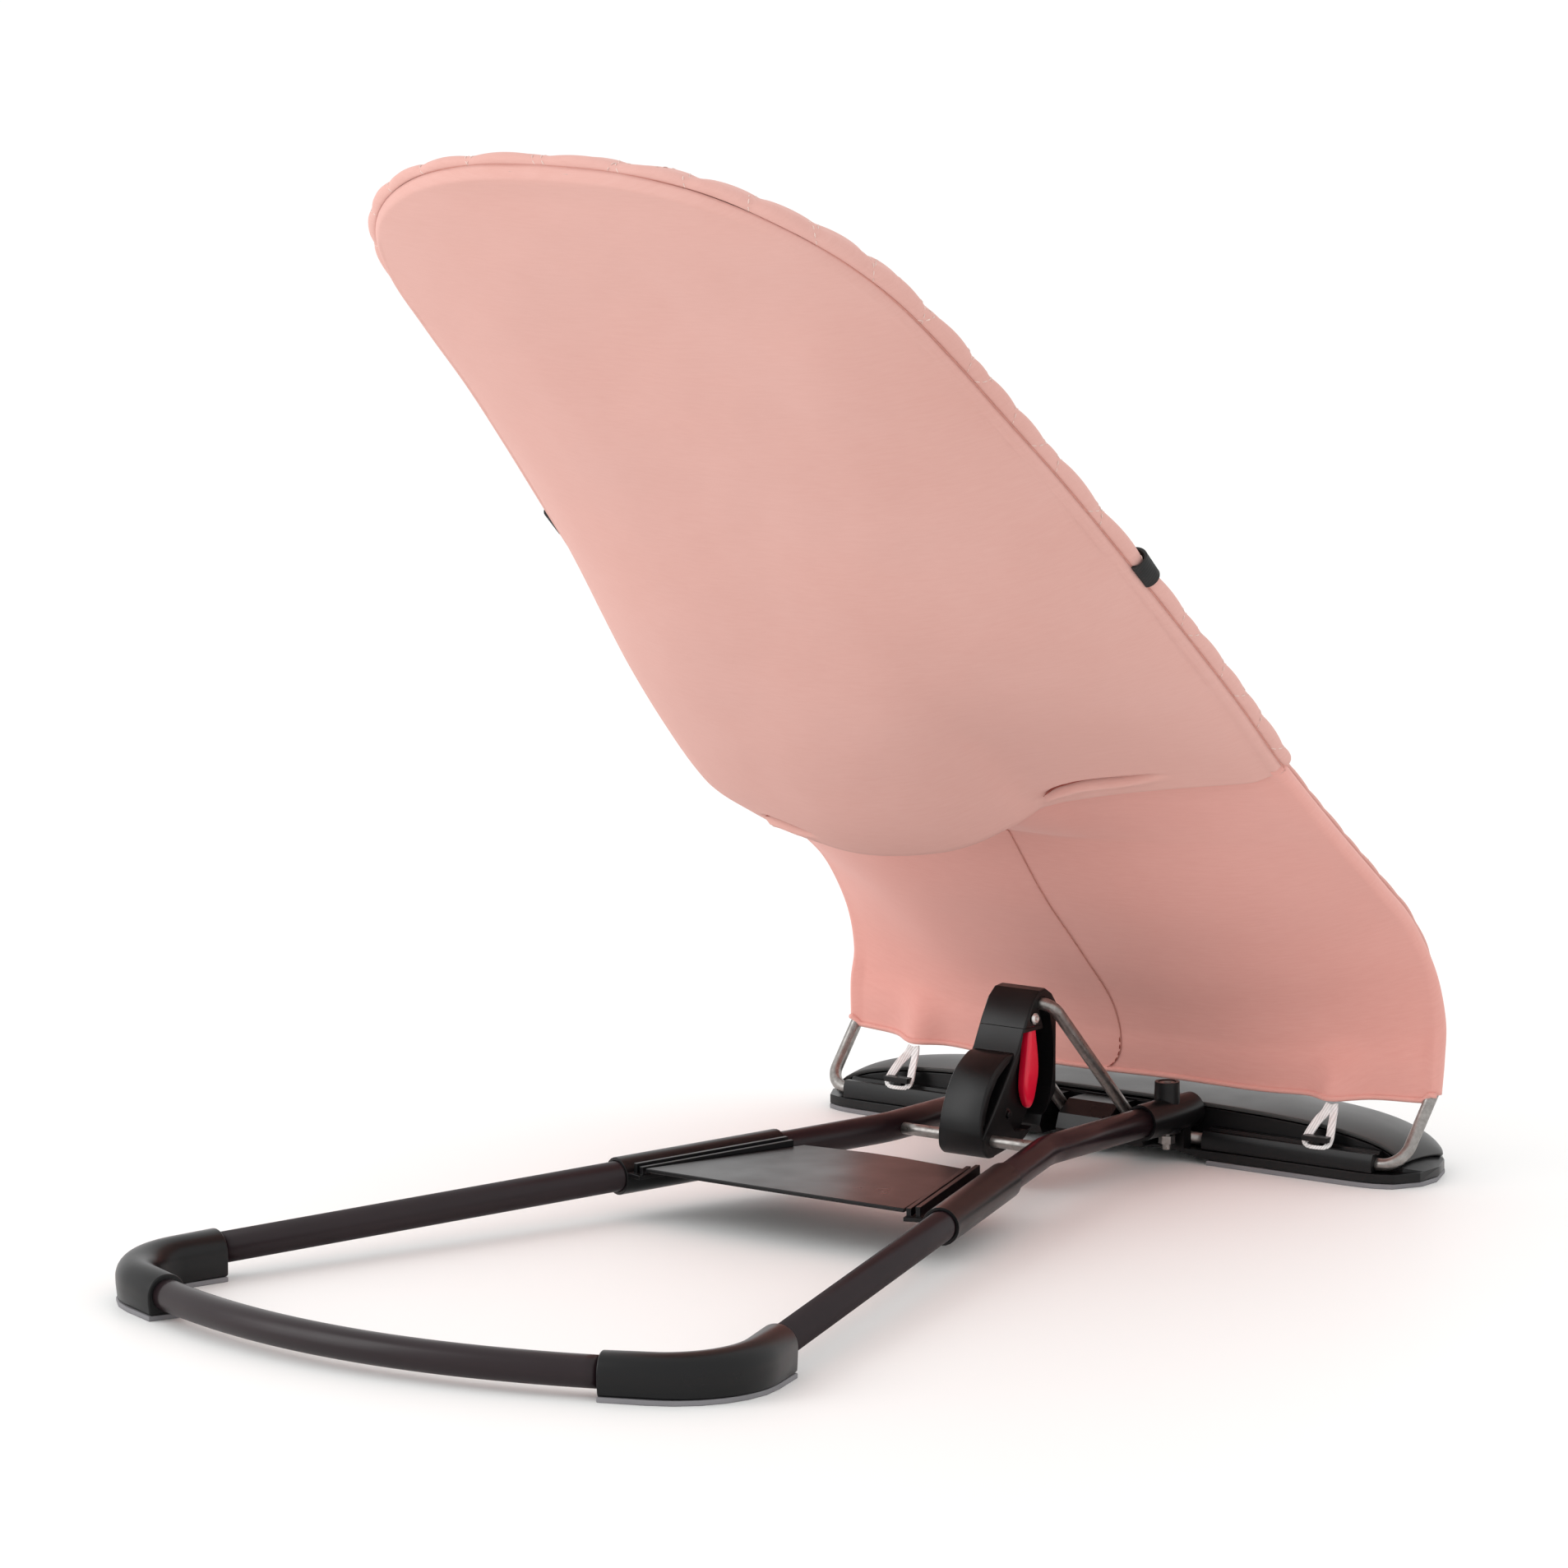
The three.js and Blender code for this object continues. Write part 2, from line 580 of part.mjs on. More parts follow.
const RECESS = [
  [79, 80.5], [102, 80.5], [107, 66], [116, 50], [119, 38], [110, 28.5], [98, 27.5], [84, 34], [79, 50],
];

const PIVOT_POCKET = [
  [84, 82], [85.5, 90], [89.5, 92.6], [94, 92.6], [96.1, 89], [96.1, 86], [99.6, 79], [84, 79],
];

const GRIP_OUTER = [
  [108.4, 70.2], [116, 68.5], [126, 62], [133.5, 52], [138.3, 41], [139.6, 33], [137.4, 32],
];
const GRIP_INNER = [
  [110, 67], [115, 64.8], [123.5, 59], [130, 50.5], [134.4, 41], [135.4, 36], [133, 37.2],
];

const LEVER_BLADE = [
  [89.8, 81.5], [87.4, 70], [85.4, 60], [85, 51], [88.6, 43], [91.6, 38], [94, 38.4], [97.5, 46],
  [99.6, 53], [97.8, 60], [95.4, 70], [94, 81.5],
];
const LEVER_NECK = [
  [89.4, 79], [88.6, 84], [88.6, 88.5], [91, 90.6], [93.4, 90.6], [95.2, 88.5], [95.2, 84], [94.4, 79],
];

// Radius and height of the lever's screw: shank, domed head and a shallow drive hole.
const SCREW_PROFILE = [
  [0, -2], [1.9, -2], [1.9, 15.2], [3.2, 15.2], [3.2, 16], [2.2, 16.9], [0.9, 16.9], [0.9, 16.2], [0, 16.2],
];

// The block is moulded in two pieces that meet along the edge of the cap's region.
function blockSolids() {
  const whole = toSolid(across(polygon(BLOCK_OUTLINE), -BLOCK_HALF, BLOCK_HALF, BLOCK_BEVEL));
  const recess = across(polygon(RECESS), -BLOCK_HALF - 1, RECESS_X);
  const pocket = across(polygon(PIVOT_POCKET), RECESS_X - 4, RECESS_X);
  const screwHole = disc(2.3, -BLOCK_HALF - 1, 2, LEVER_PIVOT, 14);
  const rodHole = disc(ROD_R + GAP, -20, 20, PIVOT, 20);
  const cut = cutAll(whole, recess, pocket, screwHole, rodHole).subtract(slotTool());
  const cap = cut.intersect(toSolid(across(polygon(CAP_REGION), -18, 18)));
  const lowered = across(polygon(CAP_REGION), -18, 18).translate(0, 0, -GAP);
  const grown = cutAll(cut, lowered, across(polygon(CAP_REGION), -18, 18));
  return [cap, grown];
}

function largest(solid) {
  return solid.decompose().sort((a, b) => b.volume() - a.volume())[0];
}

// A curved finger pull, scooped out on both sides.
function fingerGrip() {
  const solid = toSolid(across(polygon(GRIP_OUTER), -13, 13, 1));
  const scoop = (a, b) => across(polygon(GRIP_INNER), a, b);
  return toGeometry(cutAll(solid, scoop(6.5, 16), scoop(-16, -6.5)));
}

function leverScrew() {
  return turned(SCREW_PROFILE, 16).rotateZ(Math.PI / 2).translate(0, ...LEVER_PIVOT);
}

function springBarrel() {
  const drum = disc(3.6, RECESS_X - 3.3, RECESS_X - GAP, SPRING, 14);
  const pin = disc(2.2, RECESS_X - 5, RECESS_X - 0.8, SPRING, 10);
  return toGeometry(joinAll(drum, pin));
}

// A broad blade that lies in the recess, and a thinner neck that goes under the cap to the screw.
function releaseLever() {
  const back = RECESS_X - 0.5;
  const neckFront = RECESS_X - 3.6;
  const blade = across(polygon(LEVER_BLADE), -BLOCK_HALF + 0.2, back, 1);
  const neck = across(polygon(LEVER_NECK), neckFront, back);
  const eye = disc(LEVER_EYE_R, -20, 0, LEVER_PIVOT, 16);
  const underCap = block(-16, neckFront - 0.1, 84, 102, 80.2, 100);
  return toGeometry(cutAll(joinAll(blade, neck), eye, underCap));
}

function makeReclineBlock() {
  const [cap, housing] = blockSolids();
  part('block_cap', toGeometry(largest(cap)), PLASTIC_BLACK);
  part('block_housing', toGeometry(largest(housing)), PLASTIC_BLACK);
  part('finger_grip', fingerGrip(), PLASTIC_BLACK);
  part('lever_screw', leverScrew(), STEEL);
  part('spring_barrel', springBarrel(), PLASTIC_BLACK);
  part('release_lever', releaseLever(), RED);
}

// ---- seat ---------------------------------------------------------------------------------------

// A place on the seat: x across, s up along the seat plane, n in front of it.
function onSeat(x, s, n) {
  const d = SEAT_OFFSET + n;
  return [
    x,
    s * Math.cos(SEAT_SLOPE) - d * Math.sin(SEAT_SLOPE),
    RAIL_Z + s * Math.sin(SEAT_SLOPE) + d * Math.cos(SEAT_SLOPE),
  ];
}

// The side wire's route: how far out, how far up and how far in front of the seat plane.
const SIDE_ROUTE = [
  [189.5, 1.8, -36], [190.5, 15, -20], [189.5, 27, -4.5], [188.5, 52, 9], [187.5, 88, 15.5], [187.6, 120, 13],
  [189, 180, 6], [189.5, 248, 0.5], [188.5, 310, 0], [184, 370, 0], [178, 430, 0], [171, 490, 0],
];

// The head wire goes on from there over the top in one flat arch that leans back a little.
const HEAD_ROUTE = [
  [171, 490, 0], [164.5, 540, -1.5], [159.5, 590, -4], [153, 634, -7], [139, 670, -10], [116, 697, -12],
  [84, 717, -13], [44, 729, -14], [0, 732, -14],
];

function curveThrough(route, side, steps) {
  const points = route.map(([x, s, n]) => new THREE.Vector3(side * x, s, n));
  return new THREE.CatmullRomCurve3(points, false, 'centripetal').getPoints(steps);
}

function sideWire(side) {
  const lower = bend([[side * RAIL_SPLIT, 0, RAIL_Z], [side * 188.8, 0, RAIL_Z],
    onSeat(side * SIDE_ROUTE[0][0], SIDE_ROUTE[0][1], SIDE_ROUTE[0][2])], [13], 6);
  lower.pop();
  const onRoute = curveThrough(SIDE_ROUTE, side, 26);
  const upper = onRoute.map((p) => new THREE.Vector3(...onSeat(p.x, p.y, p.z)));
  return rod([...lower, ...upper], WIRE_R, 8);
}

// The two ends of the head wire stop just short of the side wires.
function headWire() {
  const right = curveThrough(HEAD_ROUTE, -1, 14);
  const left = curveThrough(HEAD_ROUTE, 1, 14).reverse();
  left.shift();
  const share = 0.07;
  const points = [...right, ...left].map((p) => onSeat(p.x, p.y, p.z));
  const first = new THREE.Vector3(...points[0]).lerp(new THREE.Vector3(...points[1]), share);
  const last = new THREE.Vector3(...points.at(-1)).lerp(new THREE.Vector3(...points.at(-2)), share);
  points[0] = first.toArray();
  points[points.length - 1] = last.toArray();
  return rod(points, WIRE_R, 8);
}

function bowWire() {
  const reach = RAIL_SPLIT - GAP;
  const corners = [[-reach, 0, RAIL_Z], [-BOW_X, 0, RAIL_Z], [-BOW_X, ...BAR], [BOW_X, ...BAR],
    [BOW_X, 0, RAIL_Z], [reach, 0, RAIL_Z]];
  return rod(bend(corners, BOW_RADII, 4), WIRE_R, 10);
}

const WHOLE_ROUTE = [...SIDE_ROUTE, ...HEAD_ROUTE.slice(1)];

// A place on the whole route by its point number, which may lie between two points.
function routeAt(k) {
  const i = Math.min(Math.floor(k), WHOLE_ROUTE.length - 2);
  return WHOLE_ROUTE[i].map((value, column) => mix(value, WHOLE_ROUTE[i + 1][column], k - i));
}

// The same, by its distance up the seat plane.
function alongRoute(s, column) {
  const last = WHOLE_ROUTE.length - 1;
  let i = WHOLE_ROUTE.findIndex((point) => point[1] > s);
  if (i < 0) i = last;
  if (i < 1) i = 1;
  const [before, after] = [WHOLE_ROUTE[i - 1], WHOLE_ROUTE[i]];
  const t = (s - before[1]) / (after[1] - before[1]);
  return mix(before[column], after[column], Math.min(Math.max(t, 0), 1));
}

function headHalfWidth(s) {
  const corner = Math.max((s - 600) / (SEAT_TOP + 4 - 600), 0);
  return alongRoute(Math.min(s, 600), 0) * Math.sqrt(Math.max(1 - 0.93 * corner ** 3.2, 0.06));
}

// One layer of the back: a slab that follows the wires, offset from them, and sagging in the middle.
function slingLayer({ from, to, front, back, sag, inset }) {
  const place = (u, v, n) => {
    const s = mix(from, to, v);
    const half = headHalfWidth(s) - inset;
    const t = 2 * u - 1;
    const drop = sag * (1 - t * t) * Math.sin(Math.PI * Math.min(Math.max(v, 0.02), 0.98));
    return onSeat(half * t, s, alongRoute(s, 2) + n - drop);
  };
  return slab((u, v) => place(u, v, front), (u, v) => place(u, v, back), 8, 12);
}

// The lower panel follows the side wires round their bend and down to the hem above the foot.
function lowerPanel() {
  const place = (u, v, offset) => {
    const k = mix(0.25, 6.95, v);
    const [x, s, n] = routeAt(k);
    const [, s0, n0] = routeAt(Math.max(k - 0.4, 0));
    const [, s1, n1] = routeAt(k + 0.4);
    const length = Math.hypot(s1 - s0, n1 - n0);
    const t = 2 * u - 1;
    const shift = offset - 8 * (1 - t * t) * Math.sin(Math.PI * (0.1 + 0.8 * v));
    return onSeat((x - 1) * t, s - (shift * (n1 - n0)) / length, n + (shift * (s1 - s0)) / length);
  };
  return slab((u, v) => place(u, v, -5), (u, v) => place(u, v, -8.2), 8, 14);
}

function restraintFlap() {
  const place = (u, v, n) => {
    const s = mix(FLAP_FROM, FLAP_TO, v);
    const half = mix(FLAP_NARROW, FLAP_WIDE, smooth(v, 0.25, 0.85));
    return onSeat(half * (2 * u - 1), s, alongRoute(s, 2) + n);
  };
  return slab((u, v) => place(u, v, 21), (u, v) => place(u, v, 16.6), 6, 9);
}

function restraintStrap(side) {
  const inner = FLAP_WIDE + 1;
  const [a, b] = side > 0 ? [inner, STRAP_OUTER] : [-STRAP_OUTER, -inner];
  const place = (u, v, n) => onSeat(mix(a, b, u), mix(STRAP_FROM, STRAP_TO, v), n);
  return slab((u, v) => place(u, v, 18.6), (u, v) => place(u, v, 16.8), 2, 1);
}

function strapLoop(side) {
  const x = side * LOOP_X;
  const top = onSeat(x, 12, -38);
  const low = [x, -5, 29];
  const place = (u, v, thick) => [
    x + (u - 0.5) * 10,
    mix(low[1], top[1], v) + thick,
    mix(low[2], top[2], v) - thick * 0.4,
  ];
  return slab((u, v) => place(u, v, -0.6), (u, v) => place(u, v, 0.6), 1, 2);
}

const BACK = { from: PANEL_SPLIT, to: SEAT_TOP + 4, front: -4.6, back: -8.6, sag: 12, inset: 0 };
const FRONT_PAD = { from: PAD_FROM, to: SEAT_TOP + 6, front: 15, back: 7.4, sag: 0, inset: -3 };

function makeSeat() {
  for (const [label, side] of SIDES) {
    part(`seat_wire_${label}`, sideWire(side), STEEL);
    part(`restraint_strap_${label}`, restraintStrap(side), WEBBING);
    part(`strap_loop_${label}`, strapLoop(side), WHITE);
  }
  part('head_wire', headWire(), STEEL);
  part('bow_wire', bowWire(), STEEL);
  part('lower_panel', lowerPanel(), FABRIC_LOWER);
  part('seat_back_panel', slingLayer(BACK), FABRIC);
  part('seat_front_pad', slingLayer(FRONT_PAD), FABRIC);
  part('restraint_flap', restraintFlap(), FABRIC);
}

makeFrontFoot();
makeRearFrame();
makeReclineBlock();
makeSeat();
bouncer.position.y = -ORIGIN_Y;
bouncer.updateMatrixWorld(true);

export default bouncer;
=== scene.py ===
import json
import math

import bpy
import bmesh
import numpy as np
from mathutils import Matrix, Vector, noise
from mathutils.bvhtree import BVHTree


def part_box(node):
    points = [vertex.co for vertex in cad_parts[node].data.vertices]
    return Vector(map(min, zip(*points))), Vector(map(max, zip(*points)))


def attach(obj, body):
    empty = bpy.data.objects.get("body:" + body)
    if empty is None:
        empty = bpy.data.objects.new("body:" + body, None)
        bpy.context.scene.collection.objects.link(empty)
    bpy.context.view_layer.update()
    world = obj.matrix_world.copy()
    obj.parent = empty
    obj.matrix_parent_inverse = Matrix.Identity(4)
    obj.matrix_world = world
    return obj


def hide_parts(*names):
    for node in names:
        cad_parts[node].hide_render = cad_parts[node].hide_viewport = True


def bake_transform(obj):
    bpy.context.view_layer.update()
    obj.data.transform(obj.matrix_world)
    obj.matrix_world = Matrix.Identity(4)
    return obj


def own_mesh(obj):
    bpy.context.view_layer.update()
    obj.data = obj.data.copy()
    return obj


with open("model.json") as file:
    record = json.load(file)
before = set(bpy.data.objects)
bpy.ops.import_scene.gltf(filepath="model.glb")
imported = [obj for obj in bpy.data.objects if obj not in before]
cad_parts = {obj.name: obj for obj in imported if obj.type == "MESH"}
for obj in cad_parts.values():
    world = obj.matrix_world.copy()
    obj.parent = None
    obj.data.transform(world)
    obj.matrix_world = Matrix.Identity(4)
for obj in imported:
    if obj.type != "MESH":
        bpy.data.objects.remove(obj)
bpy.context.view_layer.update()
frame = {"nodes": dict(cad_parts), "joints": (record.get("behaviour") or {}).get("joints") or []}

# ---- driving dimensions, in millimetres from the seat hinge axis ----

JOINTS = {joint["name"]: joint for joint in frame["joints"]}
HINGE = Vector(JOINTS["seat_recline"]["pos_m"])
PIVOT = Vector(JOINTS["block_tilt"]["pos_m"])
WIRE_R = 3.4
TUBE_R = 8.0
SLOPE = math.radians(42.7)
SEAT_OFFSET = 82.3
POCKET_S = 250.0

SIDE_ROUTE = [
    (189.5, 1.8, -36), (190.5, 15, -20), (189.5, 27, -4.5), (188.5, 52, 9), (187.5, 88, 15.5),
    (187.6, 120, 13), (189, 180, 6), (189.5, 248, 0.5), (188.5, 310, 0), (184, 370, 0), (178, 430, 0),
    (171, 490, 0),
]
HEAD_ROUTE = [
    (171, 490, 0), (164.5, 540, -1.5), (159.5, 590, -4), (153, 634, -7), (139, 670, -10),
    (116, 697, -12), (84, 717, -13), (44, 729, -14), (0, 732, -14),
]
ROUTE = SIDE_ROUTE + HEAD_ROUTE[1:]

PINK = (0.68, 0.395, 0.350)
PINK_DEEP = (0.645, 0.352, 0.305)


def mm(x, y, z):
    """A place measured from the hinge axis (y) and the floor (z), in metres."""
    return Vector((x / 1000, y / 1000 + HINGE.y, z / 1000))


def seat_points(x, s, n):
    """Places on the seat in metres, from x across, s up the seat plane and n in front of it."""
    d = SEAT_OFFSET + n
    y = s * math.cos(SLOPE) - d * math.sin(SLOPE)
    z = s * math.sin(SLOPE) + d * math.cos(SLOPE)
    return np.stack([x / 1000, y / 1000 + HINGE.y, z / 1000 + HINGE.z], -1)


def on_seat(x, s, n):
    return Vector(seat_points(x, s, n))


def mix(a, b, t):
    return a + (b - a) * t


def rise(t, low, high):
    """0 below low, 1 above high, and smooth between."""
    t = np.clip((t - low) / (high - low), 0, 1)
    return t * t * (3 - 2 * t)


def through(points, at):
    """The value at a place of a smooth curve through a short list of (place, value)."""
    places, values = zip(*points)
    if at <= places[0]:
        return values[0]
    if at >= places[-1]:
        return values[-1]
    i = int(np.searchsorted(places, at)) - 1
    width = places[i + 1] - places[i]

    def slope(k):
        if k in (0, len(places) - 1):
            return 0.0
        return (values[k + 1] - values[k - 1]) / (places[k + 1] - places[k - 1])

    t = (at - places[i]) / width
    h00, h10 = 2 * t**3 - 3 * t**2 + 1, t**3 - 2 * t**2 + t
    h01, h11 = -2 * t**3 + 3 * t**2, t**3 - t**2
    return h00 * values[i] + h10 * width * slope(i) + h01 * values[i + 1] + h11 * width * slope(i + 1)


# ---- mesh helpers ----


def add_object(name, verts, faces, material):
    mesh = bpy.data.meshes.new(name)
    mesh.from_pydata([tuple(v) for v in verts], [], faces)
    mesh.validate()
    mesh.update()
    mesh.shade_smooth()
    obj = bpy.data.objects.new(name, mesh)
    bpy.context.scene.collection.objects.link(obj)
    mesh.materials.append(material)
    return obj


FINISHED = "_finished"   # ends the name of a piece that stands for a CAD piece
ROUNDED_FROM = 28        # degrees that an edge turns by before it is rounded


def apply_modifiers(obj):
    depsgraph = bpy.context.evaluated_depsgraph_get()
    mesh = bpy.data.meshes.new_from_object(obj.evaluated_get(depsgraph))
    obj.modifiers.clear()
    obj.data = mesh


def fillet(corners, radii, steps=8):
    """Points of a bent rod, with an arc at each inner corner."""
    c = [Vector(p) for p in corners]
    points = [c[0]]
    for i, radius in zip(range(1, len(c) - 1), radii):
        back = (c[i - 1] - c[i]).normalized()
        on = (c[i + 1] - c[i]).normalized()
        half = back.angle(on) / 2
        centre = c[i] + (back + on).normalized() * (radius / math.sin(half))
        start = c[i] + back * (radius / math.tan(half)) - centre
        end = c[i] + on * (radius / math.tan(half)) - centre
        turn = start.angle(end)
        for k in range(steps + 1):
            a = turn * k / steps
            points.append(centre + (start * math.sin(turn - a) + end * math.sin(a)) / math.sin(turn))
    points.append(c[-1])
    return points


def spline(points, steps):
    """A smooth curve through points, with a number of steps between each two."""
    p = [Vector(q) for q in points]
    out = []
    for i in range(len(p) - 1):
        before = p[i - 1] if i > 0 else p[i] * 2 - p[i + 1]
        after = p[i + 2] if i + 2 < len(p) else p[i + 1] * 2 - p[i]
        for k in range(steps):
            t = k / steps
            out.append(0.5 * (2 * p[i] + (p[i + 1] - before) * t
                              + (2 * before - 5 * p[i] + 4 * p[i + 1] - after) * t**2
                              + (3 * p[i] - before - 3 * p[i + 1] + after) * t**3))
    out.append(p[-1])
    return out


def frames_along(points, up=Vector((0, 0, 1))):
    """Each point with a side and an up vector, which turn as little as possible along the way."""
    result = []
    side = None
    for i, point in enumerate(points):
        tangent = (points[min(i + 1, len(points) - 1)] - points[max(i - 1, 0)]).normalized()
        if side is None:
            side = tangent.cross(up)
        side = (side - tangent * side.dot(tangent)).normalized()
        result.append((point, side, side.cross(tangent)))
    return result


def sweep(name, points, section, material):
    """A section of (side, up) places in metres, or a function of the share along, swept over points."""
    rings = []
    for i, (point, side, up) in enumerate(frames_along(points)):
        shape = section(i / (len(points) - 1)) if callable(section) else section
        rings.append([point + side * a + up * b for a, b in shape])
    return tube_from(name, rings, material)


def tube_from(name, rings, material):
    """A closed body through a row of rings that have as many points each."""
    tube = sheet_from(name, np.array(rings).transpose(1, 0, 2), material, closed=True)
    cap_ends(tube)
    recalc(tube)
    return tube


def sheet_from(name, rows, material, thickness=0.0, closed=False):
    """A mesh through a (nu, nv, 3) array of places in metres, thickened towards its back."""
    nu, nv = rows.shape[:2]
    faces = []
    for i in range(nu if closed else nu - 1):
        for j in range(nv - 1):
            k = (i + 1) % nu
            faces.append((i * nv + j, k * nv + j, k * nv + j + 1, i * nv + j + 1))
    obj = add_object(name, rows.reshape(-1, 3), faces, material)
    if thickness:
        solid = obj.modifiers.new("thick", "SOLIDIFY")
        solid.thickness = thickness
        solid.offset = -1
        apply_modifiers(obj)
        obj.data.shade_smooth()
    return obj


def cap_ends(obj):
    bm = bmesh.new()
    bm.from_mesh(obj.data)
    bmesh.ops.holes_fill(bm, edges=[e for e in bm.edges if e.is_boundary], sides=0)
    bm.to_mesh(obj.data)
    bm.free()


def round_edges(obj, width, segments, angle=50):
    """Round the edges that turn by more than an angle, to a width in millimetres."""
    bevel = obj.modifiers.new("edge", "BEVEL")
    bevel.width = width / 1000
    bevel.segments = segments
    bevel.limit_method = "ANGLE"
    bevel.angle_limit = math.radians(angle)
    apply_modifiers(obj)
    obj.data.shade_smooth()


def subdivide(obj):
    sub = obj.modifiers.new("sub", "SUBSURF")
    sub.levels = 1
    sub.render_levels = 1
    apply_modifiers(obj)
    obj.data.shade_smooth()


def recalc(obj):
    bm = bmesh.new()
    bm.from_mesh(obj.data)
    bmesh.ops.recalc_face_normals(bm, faces=bm.faces)
    bm.to_mesh(obj.data)
    bm.free()


def ring(radius_mm, sides=28):
    r = radius_mm / 1000
    return [(r * math.cos(2 * math.pi * k / sides), r * math.sin(2 * math.pi * k / sides))
            for k in range(sides)]


def soften(node, material, width, segments=3):
    """A copy of a rigid CAD piece with its edges rounded, standing for that piece."""
    source = frame["nodes"][node]
    obj = bpy.data.objects.new(node + FINISHED, source.data.copy())
    obj.matrix_world = source.matrix_world.copy()
    bpy.context.scene.collection.objects.link(obj)
    obj.data.materials.clear()
    obj.data.materials.append(material)
    bm = bmesh.new()
    bm.from_mesh(obj.data)
    bmesh.ops.remove_doubles(bm, verts=bm.verts, dist=2e-5)
    bmesh.ops.dissolve_limit(bm, angle_limit=math.radians(1.5), verts=bm.verts, edges=bm.edges)
    bmesh.ops.recalc_face_normals(bm, faces=bm.faces)
    bm.to_mesh(obj.data)
    bm.free()
    round_edges(obj, width, segments, ROUNDED_FROM)
    weighted = obj.modifiers.new("normals", "WEIGHTED_NORMAL")
    weighted.keep_sharp = False
    apply_modifiers(obj)
    return obj


# ---- materials ----


WAVE_SPAN = math.pi / 10   # metres from band to band of a wave texture whose scale is 1
THREAD_PITCH = 0.62        # millimetres from thread to thread of the cloth


class Nodes:
    """A short way to lay out a material's nodes."""

    def __init__(self, name):
        self.material = bpy.data.materials.new(name)
        self.material.use_nodes = True
        self.tree = self.material.node_tree
        self.shader = self.tree.nodes["Principled BSDF"]
        self.coords = self.tree.nodes.new("ShaderNodeTexCoord").outputs["Object"]

    def node(self, kind, inputs=None, **settings):
        item = self.tree.nodes.new(kind)
        for key, value in settings.items():
            setattr(item, key, value)
        for key, value in (inputs or {}).items():
            socket = item.inputs[key]
            if isinstance(value, bpy.types.NodeSocket):
                self.tree.links.new(value, socket)
            else:
                socket.default_value = value
        return item

    def noise(self, scale, detail=3.0, roughness=0.5, vector=None, stretch=None):
        vector = vector or self.coords
        if stretch:
            vector = self.node("ShaderNodeMapping", {"Vector": vector, "Scale": stretch}).outputs[0]
        return self.node("ShaderNodeTexNoise",
                         {"Vector": vector, "Scale": scale, "Detail": detail, "Roughness": roughness}
                         ).outputs["Fac"]

    def ramp(self, fac, low, high, a=0.35, b=0.65):
        item = self.node("ShaderNodeValToRGB", {"Fac": fac})
        item.color_ramp.elements[0].position = a
        item.color_ramp.elements[1].position = b
        item.color_ramp.elements[0].color = (*low, 1)
        item.color_ramp.elements[1].color = (*high, 1)
        return item.outputs["Color"]

    def level(self, fac, low, high):
        return self.node("ShaderNodeMapRange",
                         {"Value": fac, "From Min": 0.3, "From Max": 0.7, "To Min": low, "To Max": high}
                         ).outputs["Result"]

    def math(self, operation, a, b):
        return self.node("ShaderNodeMath", {0: a, 1: b}, operation=operation).outputs[0]

    def blend(self, a, part_a, b, part_b):
        return self.math("ADD", self.math("MULTIPLY", a, part_a), self.math("MULTIPLY", b, part_b))

    def threads(self, pitch, direction, distortion, detail, vector=None):
        """Bands a pitch in millimetres apart. Detail is the distortion's detail and its scale."""
        inputs = {"Vector": vector or self.coords, "Scale": WAVE_SPAN * 1000 / pitch,
                  "Distortion": distortion, "Detail": detail[0], "Detail Scale": detail[1]}
        return self.node("ShaderNodeTexWave", inputs, wave_type="BANDS",
                         bands_direction=direction).outputs["Fac"]

    def bump(self, height, strength, distance, before=None):
        inputs = {"Height": height, "Strength": strength, "Distance": distance}
        if before:
            inputs["Normal"] = before
        return self.node("ShaderNodeBump", inputs).outputs["Normal"]

    def link(self, socket, name):
        self.tree.links.new(socket, self.shader.inputs[name])

    def set(self, **values):
        for key, value in values.items():
            self.shader.inputs[key.replace("_", " ")].default_value = value


def moulded(name, colour, roughness, grain=0.12, coat=0.0):
    """Moulded or coated plastic: a fine grain, and gloss that varies a little."""
    m = Nodes(name)
    dark = tuple(c * 0.93 for c in colour)
    light = tuple(min(c * 1.07, 1) for c in colour)
    m.link(m.ramp(m.noise(38, 4), dark, light), "Base Color")
    m.link(m.level(m.noise(22, 3), roughness - 0.05, roughness + 0.06), "Roughness")
    fine = m.bump(m.noise(2600, 2), grain, 0.00012)
    m.link(m.bump(m.noise(60, 2), 0.03, 0.0006, fine), "Normal")
    m.set(Specular_IOR_Level=0.25, Coat_Weight=coat, Coat_Roughness=0.25)
    return m.material


def steel(name, low, high):
    """Dull spring steel with mottling."""
    m = Nodes(name)
    blotch = m.noise(260, 5, 0.65)
    m.link(m.ramp(blotch, low, high, 0.36, 0.64), "Base Color")
    m.link(m.level(m.noise(420, 4), 0.26, 0.46), "Roughness")
    m.link(m.bump(blotch, 0.12, 0.0002), "Normal")
    m.set(Metallic=0.92)
    return m.material


